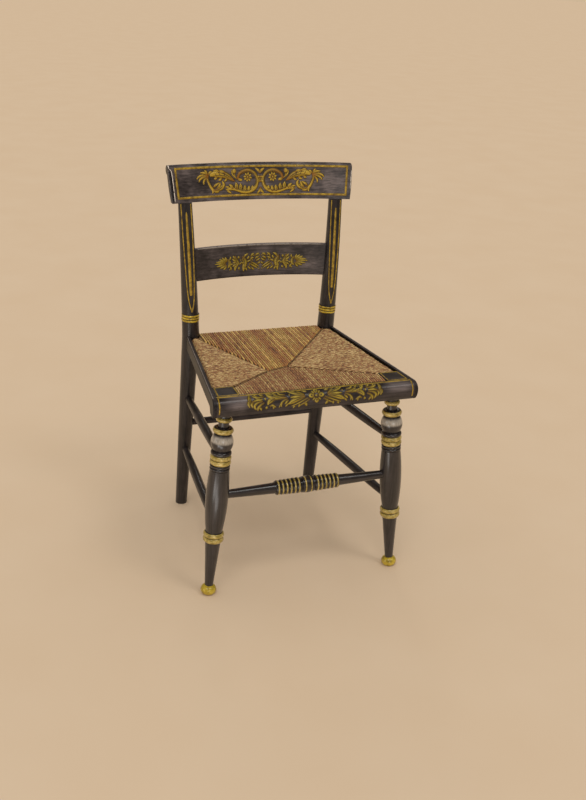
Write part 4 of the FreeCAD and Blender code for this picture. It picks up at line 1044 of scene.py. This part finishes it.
# how far up a post's planed face, and how much of its depth it has there
FACE_DEPTHS = ((0.0, -0.04), (0.07, 0.1), (0.15, 0.25), (0.25, 0.38), (0.43, 0.55), (0.7, 0.8),
               (1.0, 1.0))
# heights and widths of the tapering bar on a post
POST_BAR = ((563, 4.2), (572, 6.2), (640, 6.4), (695, 5.6), (738, 4.2), (748, 2.2))
POST_LINE_INSET = 2.9
# how far the line on a corner block stays inside its outline: at the inner side, at the front, at
# the outer side's front and rear corners, and at the rear
BLOCK_INSETS = (3.0, 1.9, 6.0, 9.5, 3.2)
ROLL_END_HEIGHTS = [346.0 - 3.0 * i for i in range(13)]


def crest_lines(finish):
    """The gold border of the crest. Its top line runs on the front of the rolled edge."""
    art = Brushwork("crest_gold_border", "crest_rail", 0)
    art.border(CREST_BORDER, 4.6, 120)
    art.lay(finish)


def post_radius(z):
    """The radius of a post at a height, where it isn't planed."""
    low, high = POST_RADII
    return low + (high - low) * (z - seat_top) / (CREST_BASE - seat_top)


def face_half_width(z):
    """Half the width of the planed face of a post at a height."""
    share = (z - FACE_START) / (CREST_BASE - FACE_START)
    for (a, low), (b, high) in zip(FACE_DEPTHS, FACE_DEPTHS[1:]):
        if share <= b:
            depth = low + (high - low) * (share - a) / (b - a)
            break
    first = post_radius(FACE_START)
    from_middle = first + (FACE_FROM_MIDDLE - first) * depth
    return math.sqrt(max(0.0, post_radius(z)**2 - from_middle**2))


def post_lines(finish):
    """A fine line inside the planed face, meeting in a V above the collar, and a tapering bar in
    it."""
    tip = FACE_START + 6.0
    heights = [tip + (CREST_BASE - 2 - tip) * (i / 24) ** 1.5 for i in range(25)]
    for side, sign in (("left", -1), ("right", 1)):
        lines = [[(sign * post_x(z) + edge * max(0.8, face_half_width(z) - POST_LINE_INSET), z, 2.4)
                  for z in heights] for edge in (-1, 1)]
        bar = [(sign * post_x(z), z, width) for z, width in POST_BAR]
        lay_strokes(side + "_post_striping", side + "_back_post", 0, finish, lines + [bar], 3.0)


def seat_lines(finish):
    """Gold lines on the corner blocks, along the top of the front roll and down its ends."""
    inner, front, outer_front, outer_rear, rear = BLOCK_INSETS
    front_y, rear_y = block_low.y + front, block_high.y - rear
    outline = [(block_low.x + inner, front_y), (block_high.x - outer_front, front_y),
               (block_high.x - outer_rear, rear_y), (block_low.x + inner, rear_y)]
    for side, sign in (("left", -1), ("right", 1)):
        art = Brushwork(side + "_block_striping", side + "_corner_block", 90)
        art.border([(sign * x, y) for x, y in outline[::sign]], 2.6, 12)
        art.lay(finish)
    reach = block_high.x - 3.0
    lay_strokes("front_roll_top_line", "front_roll", 90, finish,
                [[(x, block_low.y - 5.0, 5.0) for x in (-reach, 0, reach)]], 5.0)
    lay_strokes("front_roll_end_lines", "front_roll", FACING, finish,
                [[(sign * (reach + 0.8), height, 2.8) for height in ROLL_END_HEIGHTS]
                 for sign in (-1, 1)], 2.0)


# The rush seat. The seams from the corners meet at the two ends of a short bridge, left of the
# middle. The strands rise out of them and are a little crowned between seam and rail.

SEAM_FROM_RAIL = 107.0
SEAM_BRIDGE = 48.0
SEAM_OFFSET = -39.0
SEAM_SKEW = 14.0
SEAM_DEPTH = 2.9
STRAND_RADIUS = 2.55
STRAND_ROOM = STRAND_RADIUS + 0.2
# from the seam outwards: how far out a strand is, and how far below its top it lies there
SEAM_DIP = ((0.4, 7.5), (1.4, 4.2), (3.4, 1.7), (6.8, 0.4))
FLAT_START = 8.0
STRAND_STEP = 3.0
CROWN = 1.2
CROWN_FULL_AT = 60.0
PLY_WAIST = 0.86
TWIST_STEP = 0.62
RAIL_MIDDLE = (front_rail_low.z + front_rail_high.z) / 2
RAIL_HALF = (front_rail_high.z - front_rail_low.z) / 2


def crossing(chain, axis, value):
    """Where a chain of straight seams crosses a line of constant x (axis 0) or y (axis 1)."""
    other = 1 - axis
    for a, b in zip(chain, chain[1:]):
        low, high = sorted((a[axis], b[axis]))
        if low - 1e-6 <= value <= high + 1e-6 and high > low:
            return a[other] + (b[other] - a[other]) * (value - a[axis]) / (b[axis] - a[axis])
    return chain[-1][other]


def strand_route(start, out, reach, seed):
    """The way of one strand: up out of the seam, over the top, round the rail and back below.
    reach is the distance from the seam to the outer face of the rail."""
    rng = random.Random(seed)
    start = start + out * rng.uniform(-0.9, 0.9)
    top = RAIL_HALF + STRAND_RADIUS
    crown = min(1.0, reach / CROWN_FULL_AT) * CROWN
    flat_end = reach - STRAND_RADIUS - top
    steps = max(2, int((flat_end - FLAT_START) / STRAND_STEP))
    ways = [FLAT_START + (flat_end - FLAT_START) * i / steps for i in range(steps + 1)]
    profile = [(s, top - dip) for s, dip in SEAM_DIP]
    for s in ways:
        lift = crown * math.sin(math.pi * min(1.0, s / max(flat_end, 1)))
        profile.append((s, top + lift * 0.6 + rng.uniform(-0.18, 0.18)))
    for i in range(1, 8):
        turn = math.pi / 2 - math.pi * i / 8
        profile.append((flat_end + top * math.cos(turn), top * math.sin(turn)))
    profile += [(s, -top + rng.uniform(-0.2, 0.2)) for s in reversed(ways)]
    profile += [(s, -top + dip) for s, dip in reversed(SEAM_DIP)]
    shake = [rng.uniform(-0.22, 0.22) for _ in profile]
    side = Vector((-out.y, out.x))
    points = []
    for (s, z), sway in zip(profile, shake):
        flat = start + out * s + side * sway
        points.append((flat.x * MM, flat.y * MM, (RAIL_MIDDLE + z) * MM))
    return points


def weave(name, routes, material):
    """All the strands of one field as one mesh: a two-ply section swept along each way with a
    twist."""
    bpy.ops.curve.primitive_bezier_circle_add(radius=STRAND_RADIUS * MM)
    section = bpy.context.object
    section.data.resolution_u = 2
    for point in section.data.splines[0].bezier_points:
        if abs(point.co.y) > abs(point.co.x):
            point.co *= PLY_WAIST
            point.handle_left *= PLY_WAIST
            point.handle_right *= PLY_WAIST
    bpy.ops.curve.primitive_nurbs_path_add()
    cords = bpy.context.object
    cords.name = name
    cords.data.splines.clear()
    cords.data.dimensions = "3D"
    cords.data.bevel_mode = "OBJECT"
    cords.data.bevel_object = section
    cords.data.use_fill_caps = True
    cords.matrix_world = Matrix.Identity(4)
    for route in routes:
        spline = cords.data.splines.new("POLY")
        spline.points.add(len(route) - 1)
        turn = random.uniform(0, math.tau)
        for point, place in zip(spline.points, route):
            point.co = (*place, 1.0)
            point.tilt = turn
            point.radius = random.uniform(0.94, 1.05)
            turn += TWIST_STEP
    bpy.ops.object.select_all(action="DESELECT")
    cords.select_set(True)
    bpy.context.view_layer.objects.active = cords
    bpy.ops.object.convert(target="MESH")
    piece = bpy.context.object
    bpy.data.objects.remove(section)
    bpy.ops.object.mode_set(mode="EDIT")
    bpy.ops.mesh.select_all(action="SELECT")
    bpy.ops.mesh.normals_make_consistent(inside=False)
    bpy.ops.object.mode_set(mode="OBJECT")
    bpy.ops.object.shade_smooth()
    piece.data.materials.clear()
    piece.data.materials.append(material)
    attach(piece, "root")
    return piece


def strand_places(low, high):
    """Where strands lie side by side between two places."""
    first = math.ceil(low / STRAND_PITCH)
    last = math.floor(high / STRAND_PITCH)
    return [i * STRAND_PITCH for i in range(first, last + 1)]


def seam_way(start, end, level):
    """A slightly wandering way along one seam, just below the tops of the strands."""
    wander = random.Random(3)
    steps = int((end - start).length / 5)
    way = []
    for i in range(steps + 1):
        flat = start.lerp(end, (i + 0.6) / (steps + 1.2))
        sway = Vector((wander.uniform(-1.2, 1.2), wander.uniform(-1.2, 1.2)))
        way.append(((flat.x + sway.x) * MM, (flat.y + sway.y) * MM,
                    (level + wander.uniform(-0.7, 0.4)) * MM))
    return way


def rush_seat():
    """Four fields of strands, each at right angles to its rail, that meet on the seams."""
    front_y = (front_rail_low.y + front_rail_high.y) / 2
    rear_y = (rear_rail_low.y + rear_rail_high.y) / 2
    join_y = front_y + SEAM_FROM_RAIL
    left = Vector((SEAM_OFFSET - SEAM_BRIDGE / 2, join_y - SEAM_SKEW / 2))
    right = Vector((SEAM_OFFSET + SEAM_BRIDGE / 2, join_y + SEAM_SKEW / 2))
    corner = Vector((block_low.x, block_high.y))
    rear_corner = Vector((POST_HALF_SPACING, rear_y))
    front_chain = [Vector((-corner.x, corner.y)), left, right, corner]
    rear_chain = [Vector((-rear_corner.x, rear_corner.y)), left, right, rear_corner]
    left_chain = [front_chain[0], left, rear_chain[0]]
    right_chain = [corner, right, rear_corner]
    outer = (rear_rail_high.y - rear_rail_low.y) / 2 + 2 * STRAND_RADIUS - 0.3
    to_posts = POST_RADII[0] + STRAND_ROOM

    front, rear, lefts, rights = [], [], [], []
    for x in strand_places(-corner.x + STRAND_ROOM, corner.x - STRAND_ROOM):
        seam = crossing(front_chain, 0, x)
        front.append(strand_route(Vector((x, seam)), Vector((0, -1)), seam - front_y + outer,
                                  int(x * 10)))
    for x in strand_places(-POST_HALF_SPACING + to_posts, POST_HALF_SPACING - to_posts):
        seam = crossing(rear_chain, 0, x)
        rear.append(strand_route(Vector((x, seam)), Vector((0, 1)), rear_y + outer - seam,
                                 int(x * 10) + 5000))
    for y in strand_places(corner.y + STRAND_ROOM, rear_y - to_posts):
        face = side_face(y) - 0.4
        for chain, sign, strands, seed in ((right_chain, 1, rights, 9000),
                                           (left_chain, -1, lefts, 14000)):
            seam = crossing(chain, 1, y)
            strands.append(strand_route(Vector((seam, y)), Vector((sign, 0)), face - sign * seam,
                                        int(y * 10) + seed))

    along_y = twisted_rush("twisted_rush_front_to_back", "Y", 22, 0.55, "#fff0bc", -0.07,
                           leaf_width=2.2, gap_shade=(0.22, 0.95))
    along_y_short = twisted_rush("twisted_rush_on_front_rail", "Y", 10, 0.4, "#f4ede2",
                                 ply_shade=0.4, leaf_width=3.0, gap_shade=(0.26, 0.85))
    along_x = twisted_rush("twisted_rush_side_to_side", "X", 8, 0.1, "#f2f0ef", -0.04, 0.55)
    pieces = [weave("rush_front_field", front, along_y_short),
              weave("rush_rear_field", rear, along_y),
              weave("rush_left_field", lefts, along_x),
              weave("rush_right_field", rights, along_x)]
    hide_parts("rush_seat")
    # a dark cord along each seam, as painted shade in its groove
    level = RAIL_MIDDLE + RAIL_HALF + 2 * STRAND_RADIUS - SEAM_DEPTH
    seams = [seam_way(start, end, level)
             for start, end in ((front_chain[0], left), (left, right), (right, rear_corner))]
    weave("rush_seam_painted_shade", seams, seam_shade_cord())


# Studio

PAPER = "#cdb697"
FLOOR_TONES = [(0.3, "#cdb69b"), (0.7, "#cfb99f")]
AIR = "#fffaf2"
LAMP_TINT = (1.0, 0.98, 0.95)
# name, place, across, deep, turn and power of the cards that light the legs' edges from the floor
FLOOR_CARDS = (("left_floor_card", (-0.98, -0.86, 0.03), 0.3, 0.9, -52, 3.0),
               ("right_floor_card", (-0.52, -0.82, 0.03), 0.22, 0.7, -44, 1.4))
# name, place, strength and apparent width in degrees
WINDOWS = (("key_window", (-1.8, -2.3, 5.5), 0.4, 20),
           ("right_window", (2.2, -2.6, 5.7), 0.4, 16),
           ("back_window", (1.05, 5.2, 2.9), 0.12, 10),
           ("left_window", (-6.0, -0.6, 0.7), 0.22, 14),
           ("low_window", (-0.8, -5.5, 1.0), 0.4, 16))


def studio():
    """A wide pale floor, the same pale tone to the horizon, and the even light of wide windows."""
    bpy.ops.mesh.primitive_circle_add(vertices=96, radius=60.0, fill_type="NGON")
    floor = bpy.context.object
    floor.name = "studio_floor"
    floor.data.materials.append(mottled("pale_paper_floor", 260, FLOOR_TONES, Roughness=1.0,
                                        Specular_IOR_Level=0.0))

    world = bpy.data.worlds.new("studio_air")
    bpy.context.scene.world = world
    world.use_nodes = True
    tree = world.node_tree
    tree.nodes.clear()
    rays = add(tree, "LightPath")
    air, shade, paper = (add(tree, "Background", {"Color": linear(colour), "Strength": strength})
                         for colour, strength in ((AIR, 0.78), (PAPER, 0.25), (PAPER, 1.0)))
    mirrored = add(tree, "MixShader", {0: rays.outputs["Is Glossy Ray"], 1: air, 2: shade})
    both = add(tree, "MixShader", {0: rays.outputs["Is Camera Ray"], 1: mirrored, 2: paper})
    add(tree, "OutputWorld", {"Surface": both})

    for name, place, across, deep, turn, power in FLOOR_CARDS:
        bpy.ops.object.light_add(type="AREA", location=place,
                                 rotation=(math.radians(180), 0, math.radians(turn)))
        card = bpy.context.object
        card.name = name
        card.data.shape = "RECTANGLE"
        card.data.size = across
        card.data.size_y = deep
        card.data.energy = power
        card.data.color = LAMP_TINT
        card.visible_camera = False

    for name, place, strength, width in WINDOWS:
        bpy.ops.object.light_add(type="SUN", location=place)
        lamp = bpy.context.object
        lamp.name = name
        lamp.data.energy = strength
        lamp.data.angle = math.radians(width)
        lamp.data.color = LAMP_TINT
        lamp.rotation_euler = (-lamp.location).to_track_quat("-Z", "Y").to_euler()


# Camera, at the viewpoint of the photograph: found from the object's own edges

VIEW_AZIMUTH = math.radians(21.22)
VIEW_ELEVATION = math.radians(FACING)
VIEW_ROLL = math.radians(-3.38)
VIEW_DISTANCE = 2.22956
VIEW_TARGET = Vector((-0.02548, -0.03757, 0.38932))
FRAME_WIDTH = 586
FRAME_HEIGHT = 800
FOCAL_PIXELS = 999.4
CENTRE_X = 274.81
CENTRE_Y = 390.96
SENSOR = 36.0


def camera():
    """The eye of the photograph, a little turned about its line of sight."""
    a, e, turn = VIEW_AZIMUTH, VIEW_ELEVATION, VIEW_ROLL
    ahead = Vector((math.sin(a) * math.cos(e), math.cos(a) * math.cos(e), -math.sin(e)))
    right = Vector((math.cos(a), -math.sin(a), 0))
    up = right.cross(ahead)
    tilted_right = right * math.cos(turn) - up * math.sin(turn)
    tilted_up = right * math.sin(turn) + up * math.cos(turn)
    bpy.ops.object.camera_add()
    eye = bpy.context.object
    eye.name = "photograph_view"
    axes = Matrix((tilted_right, tilted_up, -ahead)).transposed()
    eye.matrix_world = Matrix.Translation(VIEW_TARGET - ahead * VIEW_DISTANCE) @ axes.to_4x4()
    eye.data.sensor_width = SENSOR
    eye.data.lens = FOCAL_PIXELS * SENSOR / FRAME_HEIGHT
    eye.data.shift_x = (FRAME_WIDTH / 2 - CENTRE_X) / FRAME_HEIGHT
    eye.data.shift_y = (CENTRE_Y - FRAME_HEIGHT / 2) / FRAME_HEIGHT
    eye.data.clip_end = 200.0
    bpy.context.scene.camera = eye


def build():
    """The chair's paint, brushwork and rush, and the studio round it."""
    bpy.ops.object.select_all(action="DESELECT")
    paint_wood()
    paint_legs()
    paint_posts()
    paint_front_stretcher()
    bronze = stencil_gold("stencilled_bronze_powder", GOLD_ORANGE, GOLD_OCHRE, GOLD_BRIGHT)
    olive = stencil_gold("stencilled_olive_bronze_powder", *OLIVE_GOLDS)
    striping = striping_gold()
    haze = thin_powder("thin_bronze_powder", UMBER)
    vein = thin_powder("umber_veins", VEIN_BROWN)
    crest_ornament(bronze, haze, vein)
    crest_lines(striping)
    slat_ornament(olive, haze, vein)
    roll_ornament(olive, haze, vein)
    # dark paint laid on the crest's left end as painted shade, and the pale and grey highlights
    # painted along edges
    whole = black_paint("black_paint_as_painted_shade_at_crest_end", "Z", 0.0, varnish=0.1)
    painted_edge_light(edge_highlight("pale_painted_highlight_on_edges", EDGE_HIGHLIGHT_PALE),
               edge_highlight("grey_painted_highlight_on_edges", EDGE_HIGHLIGHT_GREY), whole)
    post_lines(striping)
    seat_lines(striping)
    rush_seat()
    studio()
    camera()
    bpy.context.scene.view_settings.view_transform = "Standard"


build()
